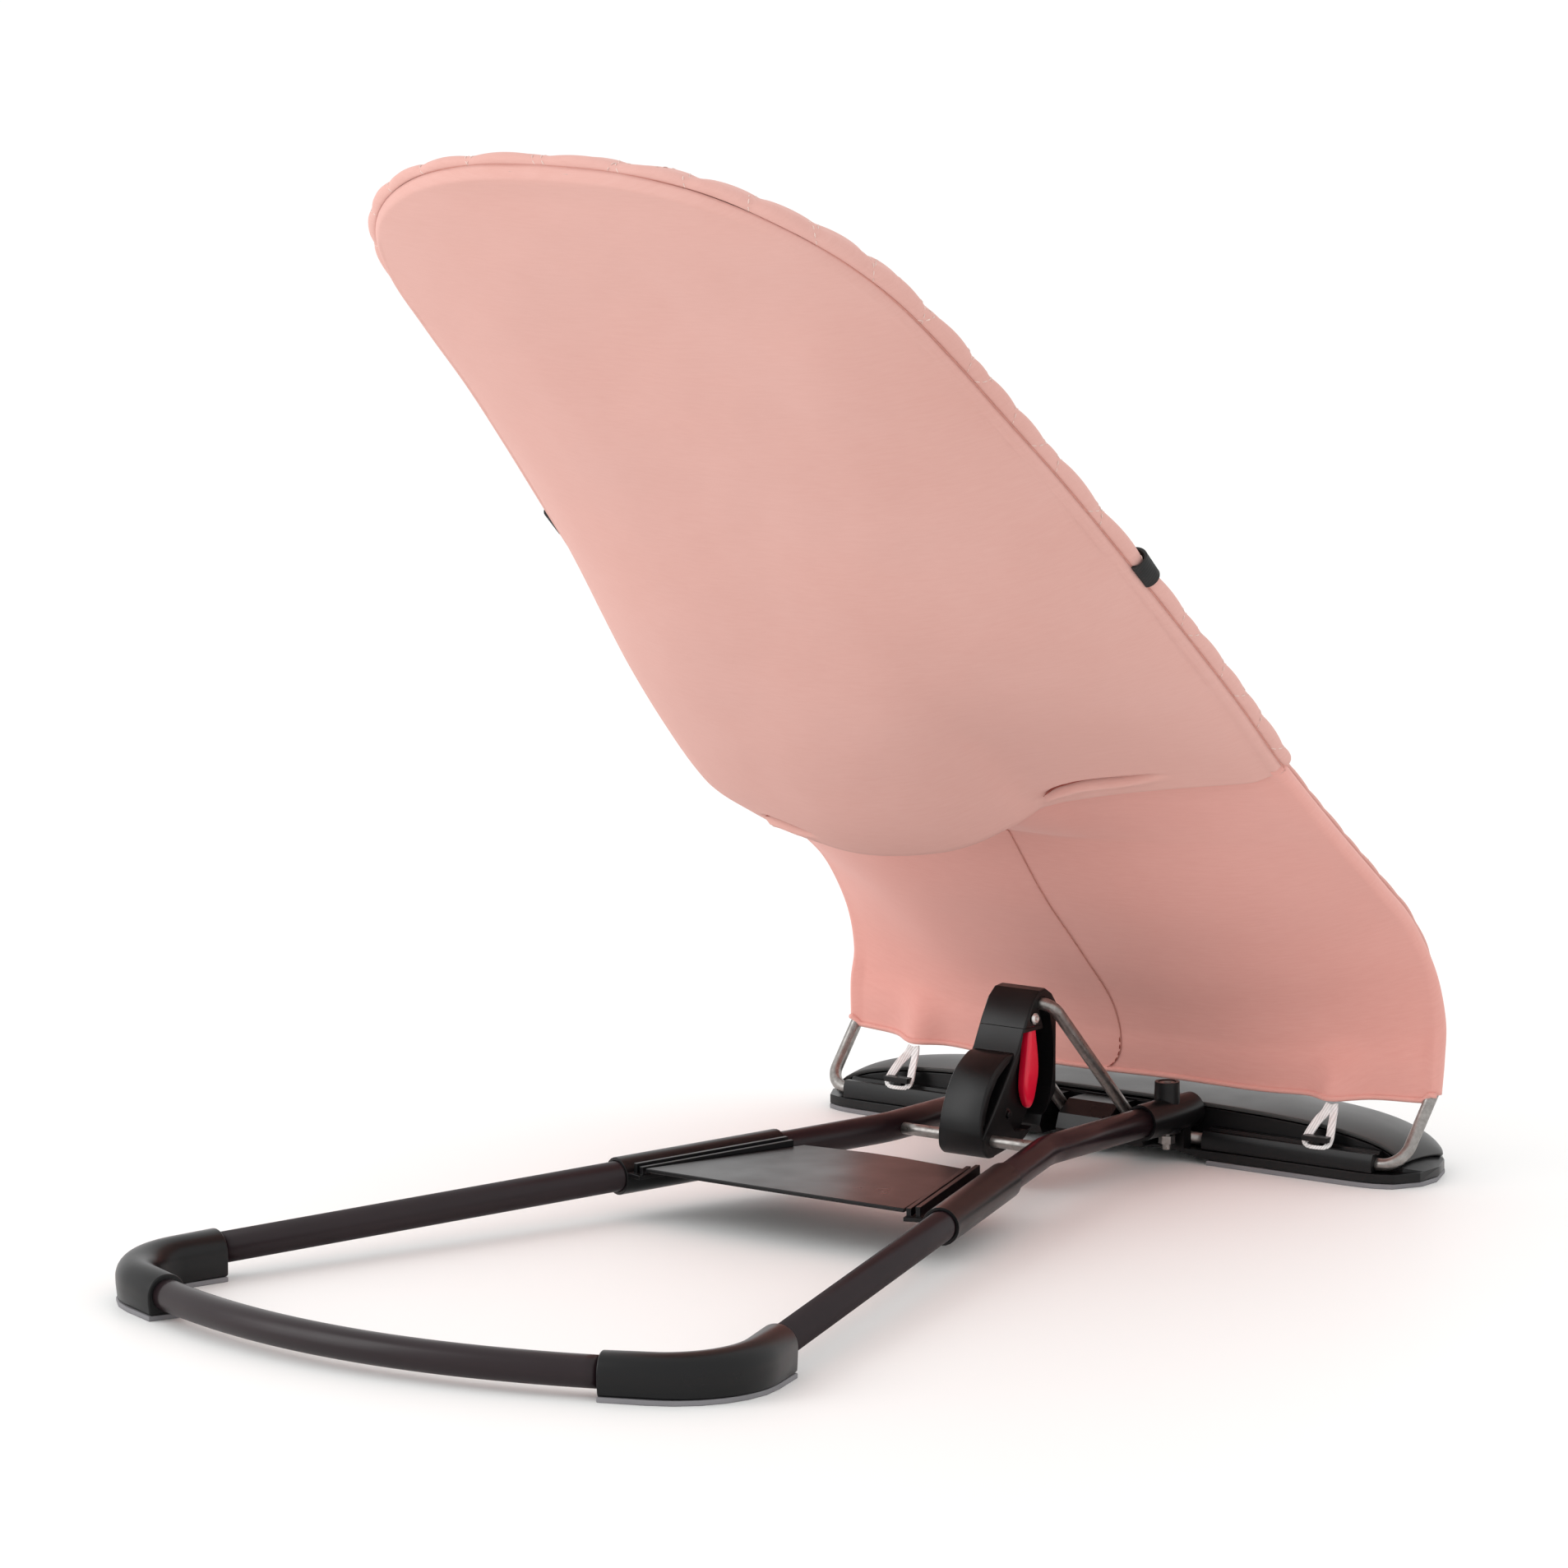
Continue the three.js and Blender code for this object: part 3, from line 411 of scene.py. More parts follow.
def woven(name, light, deep, sheen=0.13):
    """Fine plain weave: crossed threads at the true pitch, with soft variation of tone."""
    m = Nodes(name)
    turned = m.node("ShaderNodeMapping", {"Vector": m.coords, "Rotation": (-SLOPE, 0, 0)}).outputs[0]
    warp, weft = (m.threads(THREAD_PITCH, direction, 0.6, (1, 2), turned) for direction in "XY")
    cloth = m.blend(warp, 0.5, weft, 0.5)
    slub = m.noise(90, 3, 0.6, turned, (1, 9, 1))
    tone = m.blend(m.noise(9, 3), 0.55, slub, 0.45)
    m.link(m.ramp(m.blend(tone, 0.93, cloth, 0.07), deep, light, 0.3, 0.66), "Base Color")
    weave = m.bump(cloth, 0.10, 0.00018)
    m.link(m.bump(m.noise(26, 3), 0.10, 0.004, weave), "Normal")
    m.link(m.level(slub, 0.83, 0.94), "Roughness")
    m.set(Sheen_Weight=sheen, Sheen_Roughness=0.5, Specular_IOR_Level=0.2, Sheen_Tint=(1.0, 0.86, 0.82, 1))
    return m.material


def tape(name, colour, rib_mm, roughness=0.8):
    """Woven tape with fine ribs across it."""
    m = Nodes(name)
    ribs = m.threads(rib_mm, "DIAGONAL", 0.4, (2, 1))
    dark, light = tuple(c * 0.8 for c in colour), tuple(min(c * 1.1, 1) for c in colour)
    m.link(m.ramp(m.blend(ribs, 0.4, m.noise(300, 3), 0.6), dark, light), "Base Color")
    m.link(m.bump(ribs, 0.35, 0.0003), "Normal")
    m.link(m.level(m.noise(120, 2), roughness - 0.05, roughness + 0.08), "Roughness")
    return m.material


MAT = {
    "plastic": moulded("black_plastic", (0.0042, 0.0042, 0.0046), 0.31, 0.12),
    "tube": moulded("black_tube", (0.0135, 0.0062, 0.0082), 0.33, 0.2, 0.1),
    "cover": moulded("grey_cover", (0.048, 0.048, 0.047), 0.40, 0.10),
    "rubber": moulded("grey_rubber", (0.205, 0.20, 0.21), 0.72, 0.35),
    "red": moulded("red_plastic", (0.78, 0.006, 0.038), 0.24, 0.03, 0.4),
    "bright": steel("bright_screw", (0.60, 0.59, 0.57), (0.72, 0.71, 0.69)),
    "steel": steel("bare_steel", (0.235, 0.222, 0.212), (0.33, 0.315, 0.30)),
    "pink": woven("pink_fabric", PINK, PINK_DEEP),
    # the lower cloth is the same pink fabric made deeper and more saturated: painted shade and painted
    # bounce light for its place under the pocket
    "lower": woven("pink_fabric_lower", (0.735, 0.372, 0.325), (0.688, 0.325, 0.279), 0.30),
    "quilt": woven("pink_quilt", tuple(min(c * 1.02, 1) for c in PINK), PINK_DEEP),
    "thread": tape("pale_thread", (0.80, 0.60, 0.54), 0.5),
    "seam": tape("seam_thread", (0.61, 0.28, 0.23), 0.5),
    # painted crease shade for the threads laid in the creases, and the real dark thread of the lower
    # stitches
    "tuck": tape("tuck_shadow", (0.34, 0.075, 0.055), 0.5),
    "webbing": tape("black_webbing", (0.013, 0.013, 0.013), 1.2),
    "elastic": tape("white_elastic", (0.80, 0.79, 0.785), 0.9, 0.75),
}

SIDES = (("right", -1), ("left", 1))


def finish_piece(obj, body):
    """Say what a rigid piece rides on. NAME_finished stands for the CAD piece NAME, which it hides."""
    if obj.name.endswith(FINISHED):
        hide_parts(obj.name.removesuffix(FINISHED))
    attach(obj, body)


def soft_finish(obj, keep=None):
    """A soft piece on the seat, which rides on it. Where keep is given, it gets a mesh of its own.
    """
    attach(obj, "seat")
    if keep:
        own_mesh(obj)


# ---- base frame ----

SIDE_END = (179, 549, 15.2)
CORNER = (192.6, 597.7, 13.6)
REAR_END = (135, 621, 12.4)
REAR_BOW = 27.5
TUBE_X, TUBE_Z, TUBE_BEND_Y = 51.5, 26.5, 134
ELBOW_R, ROD_R = 10.4, 3.2


def side_tube(label, side):
    corners = [mm(side * TUBE_X, 22, TUBE_Z), mm(side * TUBE_X, TUBE_BEND_Y, TUBE_Z),
               mm(side * SIDE_END[0], SIDE_END[1], SIDE_END[2])]
    tube = sweep(f"side_tube_{label}_finished", fillet(corners, [0.06], 14), ring(TUBE_R, 36), MAT["tube"])
    finish_piece(tube, "base")


def rear_tube():
    points = []
    for i in range(41):
        t = i / 20 - 1
        points.append(mm(REAR_END[0] * t, REAR_END[1] + REAR_BOW * (1 - t * t), REAR_END[2]))
    tube = sweep("rear_tube_finished", points, ring(TUBE_R, 36), MAT["tube"])
    finish_piece(tube, "base")


def elbow_section(share):
    """Round above, with a flat skirt that comes down to the sole."""
    height = mix(12.9, 9.6, share)
    r, half = ELBOW_R, ELBOW_R - 0.5
    points = []
    for k in range(33):
        a = math.pi * k / 32
        points.append((r * math.cos(a) / 1000, r * math.sin(a) / 1000))
    for a, b in ((-r, -3), (-half, -height + 1.2), (-half + 0.9, -height), (half - 0.9, -height),
                 (half, -height + 1.2), (r, -3)):
        points.append((a / 1000, b / 1000))
    return points


def corner_elbow(label, side):
    run = (Vector(SIDE_END) - Vector((TUBE_X, TUBE_BEND_Y, TUBE_Z))).normalized()
    start = Vector(SIDE_END) - run * 12
    corners = [start, Vector(CORNER), Vector(REAR_END)]
    line = [mm(side * p.x, p.y, p.z) for p in fillet(corners, [42], 18)]
    elbow = sweep(f"corner_elbow_{label}_finished", line, elbow_section, MAT["plastic"])
    round_edges(elbow, 0.9, 3)
    finish_piece(elbow, "base")


def base_frame():
    rear_tube()
    for label, side in SIDES:
        side_tube(label, side)
        corner_elbow(label, side)
        for node, width in (("plate_clip", 0.7), ("tube_socket", 0.8), ("wire_rail_cap", 0.5),
                            ("strap_hook", 0.5)):
            finish_piece(soften(f"{node}_{label}", MAT["plastic"], width), "base")
        for node in ("corner_sole", "front_sole"):
            finish_piece(soften(f"{node}_{label}", MAT["rubber"], 0.5, 2), "base")
        for node in ("socket_bolt", "socket_nut"):
            finish_piece(soften(f"{node}_{label}", MAT["steel"], 0.3, 2), "base")
    finish_piece(soften("cross_plate", MAT["plastic"], 0.5), "base")
    finish_piece(soften("hinge_housing", MAT["plastic"], 0.9), "base")
    finish_piece(soften("front_foot_body", MAT["plastic"], 0.6), "base")
    rod_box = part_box("cross_rod")
    ends = [Vector((x, PIVOT.y, PIVOT.z)) for x in np.linspace(rod_box[0][0], rod_box[1][0], 9)]
    rod = sweep("cross_rod_finished", ends, ring(ROD_R, 28), MAT["steel"])
    finish_piece(rod, "base")


# ---- front foot cover ----

FOOT_HALF, FOOT_LINE, FOOT_FRONT, FOOT_REAR = 194.0, -20, 88, 29
COVER_REAR, COVER_BASE, COVER_RISE, COVER_THICK = -6.5, 10.5, 21.8, 0.0022


def foot_span(x, power):
    return math.sqrt(max(1 - min(abs(x) / (FOOT_HALF + 1), 1) ** power, 0))


def cover_place(u, v):
    """The cover's top, by the share across (u) and the share from its front to its rear edge (v)."""
    t = 2 * u - 1
    x = (FOOT_HALF - 8) * (0.35 * math.sin(t * math.pi / 2) + 0.65 * t)
    front = FOOT_LINE - FOOT_FRONT * foot_span(x, 2.4)
    rear = min(COVER_REAR, FOOT_LINE + FOOT_REAR * foot_span(x, 20) - 1)
    y = mix(front + 1, rear, v**0.8)
    depth = max((COVER_REAR - y) / (COVER_REAR - front), 0)
    dip = mix(0.05, 0.26, (x / FOOT_HALF) ** 2) * max(1 - depth / 0.4, 0) ** 2
    along = max(1 - depth**2.8, 0) ** 0.6 - dip
    ends = math.sqrt(max(1 - (abs(x) / (FOOT_HALF - 7.5)) ** 6, 0))
    return mm(x, y, COVER_BASE + COVER_RISE * along * ends)


def foot_cover():
    rows = [[cover_place(i / 120, j / 44) for j in range(45)] for i in range(121)]
    cover = sheet_from("front_foot_cover_finished", np.array(rows), MAT["cover"], COVER_THICK)
    round_edges(cover, 0.6, 3)
    recalc(cover)
    finish_piece(cover, "base")


# ---- recline block ----


def recline_block():
    for node in ("block_cap", "block_housing", "finger_grip", "spring_barrel"):
        finish_piece(soften(node, MAT["plastic"], 0.7), "recline_block")
    finish_piece(soften("lever_screw", MAT["bright"], 0.25, 2), "recline_block")
    grip_band()
    release_lever()


# The outer wall of the finger grip as (y, z): its outer face and its inner one, station by station.
GRIP_FACE = [(106, 70.2), (111, 70.3), (116.4, 69.2), (126.5, 62.7), (134.1, 52.4), (138.8, 41.2),
             (140.1, 33), (139.9, 27.6), (138.6, 21.8), (134.2, 17.6), (128, 17.2)]
GRIP_BACK = [(106, 67), (110.6, 66.9), (115.2, 65.8), (124.2, 60), (131.2, 50.4), (135.4, 40.4),
             (136.7, 33), (136.4, 28.2), (135.6, 23.6), (132.8, 20.8), (128, 20.4)]
GRIP_HALF = ((0, 12.8), (0.45, 12.8), (0.8, 14.7), (1, 14.7))


def grip_band():
    """One curved wall from the top of the finger grip down round the foot of the block."""
    face = spline([mm(0, y, z) for y, z in GRIP_FACE], 5)
    back = spline([mm(0, y, z) for y, z in GRIP_BACK], 5)
    half = table(GRIP_HALF, np.linspace(0, 1, len(face))) / 1000
    rings = [[(x, p.y, p.z) for p, x in ((a, h), (b, h), (b, -h), (a, -h))]
             for a, b, h in zip(face, back, half)]
    band = tube_from("grip_band", rings, MAT["plastic"])
    round_edges(band, 0.9, 3)
    finish_piece(band, "recline_block")


# The lever seen from its side, as shares of its length and height, and its layers from the inner face
# to the outer one, as a share of its thickness and the size of the outline there.
LEVER_OUTLINE = [(0.50, 1.0), (0.66, 0.93), (0.74, 0.78), (0.86, 0.55), (0.97, 0.34), (0.98, 0.2),
                 (0.80, 0.05), (0.55, 0.0), (0.34, 0.06), (0.20, 0.18), (0.06, 0.34), (0.10, 0.55),
                 (0.24, 0.78), (0.34, 0.93)]
LEVER_LAYERS = [(0.0, 0.90), (0.05, 0.97), (0.16, 1.0), (0.62, 1.0), (0.80, 0.94), (0.91, 0.80),
                (0.97, 0.58), (0.995, 0.32), (1.0, 0.06)]


def release_lever():
    """A smooth tongue: narrow where it turns on its screw, with a full belly low down."""
    low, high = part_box("release_lever")
    size = high - low
    outline = [Vector((0, low.y + a * size.y, low.z + b * size.z)) for a, b in LEVER_OUTLINE]
    loop = spline(outline + outline[:1], 6)[:-1]
    middle = sum(loop, Vector()) / len(loop)
    near, far = sorted((low.x, high.x), key=abs)
    rings = []
    for share, scale in LEVER_LAYERS:
        layer = [middle + (p - middle) * scale for p in loop]
        rings.append([(mix(near, far, share), p.y, p.z) for p in layer])
    lever = tube_from("release_lever_finished", rings, MAT["red"])
    subdivide(lever)
    finish_piece(lever, "lever")


# ---- seat wire ----

BEND_X, RAIL_END_X = 188.8, 64
BOW_X, BOW_BAR = 21.6, (84.9, 94.1)   # half width of the narrow bow, then y and z of its crossbar


def wire_piece(name, points):
    wire = sweep(f"{name}_finished", points, ring(WIRE_R, 20), MAT["steel"])
    finish_piece(wire, "seat")


def seat_wire():
    z = HINGE.z * 1000
    for label, side in SIDES:
        first_x, s, n = ROUTE[0]
        rail = [mm(side * RAIL_END_X, 0, z), mm(side * BEND_X, 0, z), on_seat(side * first_x, s, n)]
        upper = spline([on_seat(side * x, s, n) for x, s, n in SIDE_ROUTE], 5)
        wire_piece(f"seat_wire_{label}", fillet(rail, [0.013], 12)[:-1] + upper)
    left = [on_seat(-x, s, n) for x, s, n in HEAD_ROUTE[:-1]]
    right = [on_seat(x, s, n) for x, s, n in HEAD_ROUTE]
    wire_piece("head_wire", spline(left + right[::-1], 5))
    half = [(RAIL_END_X - 0.3, 0, z), (BOW_X, 0, z), (BOW_X, *BOW_BAR)]
    corners = [mm(-x, y, z) for x, y, z in half] + [mm(x, y, z) for x, y, z in reversed(half)]
    wire_piece("bow_wire", fillet(corners, [0.006, 0.007, 0.011, 0.006], 8))


# ---- the seat's outline and its hollows ----

UP = Vector((0, math.cos(SLOPE), math.sin(SLOPE)))
FRONT = Vector((0, -math.sin(SLOPE), math.cos(SLOPE)))


class Rim:
    """The wire from one hem corner round the head to the other, with a frame at each point."""

    def __init__(self, count=640):
        half = spline([Vector(p) for p in ROUTE], 16)
        whole = half + [Vector((-p.x, p.y, p.z)) for p in reversed(half[:-1])]
        run = [0.0]
        for a, b in zip(whole, whole[1:]):
            run.append(run[-1] + (b - a).length)
        even = np.linspace(0, run[-1], count)
        self.local = np.stack([np.interp(even, run, [p[i] for p in whole]) for i in range(3)], 1)
        self.count = count
        self.centre = [on_seat(*p) for p in self.local]
        self.out, self.front = [], []
        for i in range(count):
            tangent = (self.centre[min(i + 2, count - 1)] - self.centre[max(i - 2, 0)]).normalized()
            out = tangent.cross(FRONT).normalized()
            self.out.append(out)
            self.front.append(out.cross(tangent).normalized())
        flat = np.array([(o.x, o.dot(UP)) for o in self.out])
        self.flat_out = flat / np.linalg.norm(flat, axis=1, keepdims=True)

    def index_at(self, s):
        """The first point, counted from the left hem corner, that is this far up the seat."""
        return int(np.argmax(self.local[:, 1] >= s))

    def at(self, i, o, m):
        """A place o outwards and m frontwards of the wire's centre line, in millimetres."""
        return self.centre[i] + self.out[i] * (o / 1000) + self.front[i] * (m / 1000)

    def outline(self, offset, s0):
        """(x, s) places of the outline, pushed outwards, from one side at s0 round to the other."""
        places = []
        for i in range(self.count):
            x, s, _ = self.local[i]
            a = self.local[min(i + 1, self.count - 1)] - self.local[max(i - 1, 0)]
            size = math.hypot(a[0], a[1])
            px, ps = x + a[1] / size * offset, s - a[0] / size * offset
            if ps >= s0:
                places.append((px, ps))
        places[0] = (places[0][0], s0)
        places[-1] = (places[-1][0], s0)
        return np.array(places)

    def signed(self, x, s):
        """Nearest point of the wire, and the distance outwards from it, in the seat's plane."""
        x, s = np.atleast_1d(x).astype(float), np.atleast_1d(s).astype(float)
        nearest = np.empty(len(x), int)
        for k in range(0, len(x), 4000):
            part = slice(k, k + 4000)
            d = (x[part, None] - self.local[None, :, 0]) ** 2 + (s[part, None] - self.local[None, :, 1]) ** 2
            nearest[part] = d.argmin(1)
        c = self.local[nearest]
        flat = self.flat_out[nearest]
        along = (x - c[:, 0]) * flat[:, 1] - (s - c[:, 1]) * flat[:, 0]
        out = (x - c[:, 0]) * flat[:, 0] + (s - c[:, 1]) * flat[:, 1]
        far = np.hypot(x - c[:, 0], s - c[:, 1])
        return nearest, np.where(np.abs(along) < 4, out, np.copysign(far, out))

    def inside(self, x, s):
        """How far places lie inside the wire's line, measured in the seat's plane."""
        return np.abs(self.signed(x, s)[1])


RIM = Rim()
HALF_TABLE = np.array([(s, abs(x)) for x, s, _ in RIM.local[:RIM.count // 2]])
STAND_TABLE = np.array([(s, n) for _, s, n in RIM.local[:RIM.count // 2]])
CURVES = {}   # the readings of table(), by list


def table(points, at):
    """Smooth reading of a short table for many places at once."""
    key = id(points)
    if key not in CURVES:
        fine = np.linspace(points[0][0], points[-1][0], 400)
        CURVES[key] = (fine, [through(points, f) for f in fine])
    return np.interp(at, *CURVES[key])


def half_width(s):
    return np.interp(s, HALF_TABLE[:, 0], HALF_TABLE[:, 1])


def stand(s):
    """Stand-off of the wire's plane, up the seat."""
    return np.interp(s, STAND_TABLE[:, 0], STAND_TABLE[:, 1])


POCKET_EDGE = [
    (-194, 0), (-184, -5), (-154, -11), (-114, -19), (-84, -26), (-62, -33), (-50, -45), (-25, -62),
    (6, -71), (40, -73), (66, -70), (104, -62), (149, -46), (176, -28), (189, -10), (194, 0),
]
CENTRE_SAG = [(250, 72), (300, 66), (350, 58), (450, 41), (550, 26), (640, 12), (700, 4), (738, 0)]
CREASES = (
    # x and s of each end, how far it bows up the seat, its depth and its width
    ((-62, 253), (-140, 262), 7.5, 7.0, 2.4),
    ((104, 252), (60, 256), 3.0, 5.0, 2.2),
)


def wander(x, s, seed, size):
    return np.array([noise.noise(Vector((a / size, b / size, seed))) for a, b in zip(x, s)])


def crease_line(crease, along):
    """How far up the seat a crease is, by the share of the way along it."""
    (_, s0), (_, s1), bow, _, _ = crease
    return s0 + (s1 - s0) * along + bow * np.sin(math.pi * along**0.6) * (1 - 0.4 * along)


def creases(x, s):
    """Folds pressed into the cloth above the pocket's lower edge, each with a lip below it."""
    total = np.zeros(len(x))
    for crease in CREASES:
        (x0, _), (x1, _), _, depth, width = crease
        t = (x - x0) / (x1 - x0)
        side = (s - crease_line(crease, np.clip(t, 0, 1))) / width
        fade = rise(t, -0.02, 0.12) * (1 - rise(t, 0.55, 1.0))
        total += fade * depth * (np.exp(-(side * 1.7) ** 2) - 0.45 * np.exp(-((side + 1.5) / 1.1) ** 2))
    return total


def back_level(x, s):
    """Stand-off of the back cloth over the seat's plane."""
    w = half_width(s)
    share = np.clip(np.abs(x) / w, 0, 1)
    edge = table(POCKET_EDGE, x * 194 / w)
    sag = table(CENTRE_SAG, s)
    fuller = 1.5 * rise(x, 0, 90) * (1 - rise(s, 300, 540))
    even = -sag * (1 - share ** (3.0 + fuller))
    near = 1 - rise(s, 250, 430)
    depth = even * (1 - near) + edge * near * (0.55 + 0.45 * sag / 72)
    return stand(s) + depth


LOWER_REACH = -57.0   # as far back as the lower cloth goes, so that it clears the plate when folded
LOWER_SAG = [(0, 20), (20, 28), (47, 34), (88, 42), (135, 36), (180, 24), (195, 22), (252, 12)]


def flare(x, s, plain):
    """The lower cloth's stand-off, drawn back to the pocket's edge at its top."""
    share = np.clip((s - 190) / 60, 0, 1)
    meet = np.maximum(back_level(x, np.full_like(x, POCKET_S + 1)) + 1.0, LOWER_REACH)
    return plain * (1 - share) + np.minimum(meet, plain) * share


def lower_level(x, s):
    """Stand-off that the padded layer takes the lower cloth to have."""
    share = np.clip(np.abs(x) / half_width(s), 0, 1)
    return flare(x, s, stand(s) - table(LOWER_SAG, s) * (1 - share**3.2))


PAD_SAG = [(20, 24), (47, 31), (87, 37), (135, 34), (195, 23), (222, 36), (250, 50), (280, 58), (320, 57),
           (400, 45), (500, 29), (600, 14), (700, 3), (738, 0)]
PAD_STAND = 9.6  # stand-off of the pad's front over the wires
PAD_WIDE, PAD_LONG = 350, 700
PAD_SOFT = 6.0   # how gently the pad's own hollow passes into the cloth behind it


def pad_level(x, s):
    """Stand-off of the padded layer's front, before its quilting."""
    w = half_width(s)
    share = np.clip(RIM.inside(x, s) / w, 0, 1)
    shape = (1 - (1 - share) ** 2.6) ** 1.25
    own = stand(s) + PAD_STAND - table(PAD_SAG, s) * shape
    room = np.where(s > 236, back_level(x, np.maximum(s, 250.0)), lower_level(x, s)) + 14.5
    return np.where(share > 0.03, PAD_SOFT * np.logaddexp(own / PAD_SOFT, room / PAD_SOFT), own)


def coons(loop, u, v, corner=0.31):
    """Places of a grid inside an outline: bottom straight, sides and top along the loop."""
    run = np.concatenate([[0], np.cumsum(np.hypot(*np.diff(loop, axis=0).T))])

    def at(q):
        return np.stack([np.interp(q * run[-1], run, loop[:, i]) for i in (0, 1)], -1)

    side = 0.5 - corner / 2
    left, right, top = at(v * side), at(1 - v * side), at(side + u * corner)
    low = left[0] * (1 - u[:, None]) + right[0] * u[:, None]
    a, b = u[:, None, None], v[None, :, None]
    plain = (1 - b) * low[:, None] + b * top[:, None] + (1 - a) * left[None] + a * right[None]
    below = (1 - a) * (1 - b) * left[0] + a * (1 - b) * right[0]
    above = (1 - a) * b * left[-1] + a * b * right[-1]
    return plain - below - above


def fine_ends(count, size, low=True):
    """Shares from 0 to 1, with extra ones near the ends, where cloth turns round a wire."""
    near = np.array([0, 0.9, 1.8, 2.8, 3.9, 5.0, 6.4, 8.2]) / size
    middle = np.linspace(10.5 / size, 1 - 10.5 / size, count)
    high = 1 - near[::-1]
    if not low:
        middle = np.linspace(0, 1 - 10.5 / size, count)
        return np.concatenate([middle, high])
    return np.concatenate([near, middle, high])


def to_seat(points):
    """x, s and n of places in metres."""
    y = (points[:, 1] - HINGE.y) * 1000
    z = (points[:, 2] - HINGE.z) * 1000
    s = y * math.cos(SLOPE) + z * math.sin(SLOPE)
    n = -y * math.sin(SLOPE) + z * math.cos(SLOPE) - SEAT_OFFSET
    return points[:, 0] * 1000, s, n


def mesh_points(obj):
    co = np.empty(len(obj.data.vertices) * 3)
    obj.data.vertices.foreach_get("co", co)
    return co.reshape(-1, 3)


# ---- back cloth ----

FOLDED = 0.55


def wire_wrap(out, radius):
    """Stand-off of cloth drawn round the back of the wire, by its distance outwards."""
    o = np.clip(out, 0, radius - 0.05)
    return np.where(out < 0, -radius, -np.sqrt(np.maximum(radius**2 - o**2, 0)))


def cloth_level(x, s, pressed=1.0):
    """Stand-off of the finished back cloth: wrapped wires, hollow, creases and slight waves."""
    nearest, out = RIM.signed(x, s)
    head = rise(np.abs(np.arange(RIM.count) - RIM.count / 2), 0, 95)[nearest]
    level = back_level(x, s) + wire_wrap(out, 4.8)
    at_wire = RIM.local[nearest, 2] + wire_wrap(out, 4.8)
    level = np.where(out > -1.0, at_wire, level)
    level += (1 - head) * 2.4 * rise(out, 1.0, 4.6)
    calm = rise(-out, 2, 60)
    level = level + creases(x, s) * pressed
    return level + wander(x, s, 3.0, 75) * 2.4 * calm + wander(x, s, 9.0, 26) * 0.45 * calm


def painted_crease_shade_lines():
    """A dark thread laid in the mouth of each crease: painted shade for the slit where the cloth closes on
    itself.
    """
    lines = []
    for number, crease in enumerate(CREASES):
        share = np.linspace(0.03, 0.62, 40)
        x = crease[0][0] + (crease[1][0] - crease[0][0]) * share
        s = crease_line(crease, share)
        line = [Vector(p) for p in seat_points(x, s, cloth_level(x, s, 0.35))]
        lines.append(sweep(f"tuck_line_{number + 1}", line,
                           lambda t: ring(0.16 + 0.40 * (1 - t) * rise(t, 0, 0.08), 8), MAT["tuck"]))
        soft_finish(lines[-1], FOLDED)
    return lines


def back_panel():
    u, v = fine_ends(136, 388), fine_ends(150, 620, low=False)
    by_creases = [np.linspace(0, 0.07, 34)[:-1], np.linspace(0.07, v[11], 3)[:-1]]
    places = coons(RIM.outline(4.75, POCKET_S), u, np.concatenate([*by_creases, v[11:]]))
    x, s = places[..., 0].ravel(), places[..., 1].ravel()
    level = cloth_level(x, s)
    rows = seat_points(x, s, level).reshape(*places.shape[:2], 3)
    x, level = x.reshape(rows.shape[:2]), level.reshape(rows.shape[:2])
    rows = np.concatenate([turn_under(x[:, 0], level[:, 0]), rows], 1)
    panel = sheet_from("seat_back_cloth", rows, MAT["pink"], 0.0009)
    recalc(panel)
    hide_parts("seat_back_panel")
    painted_crease_shade_lines()
    soft_finish(panel, FOLDED)


def turn_under(x, level):
    """Rows that roll the pocket's lower edge round and under, towards the lower cloth."""
    radius = 7.5 * np.clip(-level / 60, 0.05, 1)
    result = []
    for k in range(8, 0, -1):
        a = math.pi * 0.95 * k / 8
        s = POCKET_S - radius * np.sin(a) * 0.9
        result.append(seat_points(x, s, level + radius * (1 - np.cos(a))))
    return np.stack(result, 1)


# ---- lower cloth ----

SLEEVE = 4.9                         # from a wire's centre line to the cloth round it
LOOP_X = 138                         # where an elastic loop pulls at the hem
LOOP_PULL = np.array((0, 0.010, -0.001))
CENTRE_S = [(1.8, 8.4), (15, 18), (27, 27.5), (52, 47.5), (88, 87), (135, 135), (195, 195), (252, 252)]
CENTRE_N = [(1.8, -51.4), (15, -42.4), (27, -34.8), (52, -28.3), (88, -26.4), (135, -24.5), (195, -17),
            (252, -10)]
SEAM_TURN = 16.0   # radius of the centre seam's turn to the side at the hem


def seam_path(rows, centre):
    """The centre seam from the hem up: in from the side round a quarter turn, then straight."""
    spine = rows[:, centre]
    run = 1000 * np.concatenate([[0], np.cumsum(np.linalg.norm(np.diff(spine, axis=0), axis=1))])
    step = 1000 * np.linalg.norm(rows[0, centre] - rows[0, centre - 1])
    turn = np.radians(np.linspace(90, 0, 14))
    straight = run[run > SEAM_TURN + 1]
    height = np.concatenate([SEAM_TURN * (1 - np.sin(turn)), straight])
    aside = np.concatenate([SEAM_TURN * (1 - np.cos(turn)), 0 * straight])
    row = np.interp(height, run, np.arange(len(run)))
    column = centre - aside / step
    r, c = np.minimum(row.astype(int), len(run) - 2), column.astype(int)
    a, b = (row - r)[:, None], (column - c)[:, None]
    return ((rows[r, c] * (1 - b) + rows[r, c + 1] * b) * (1 - a)
            + (rows[r + 1, c] * (1 - b) + rows[r + 1, c + 1] * b) * a)


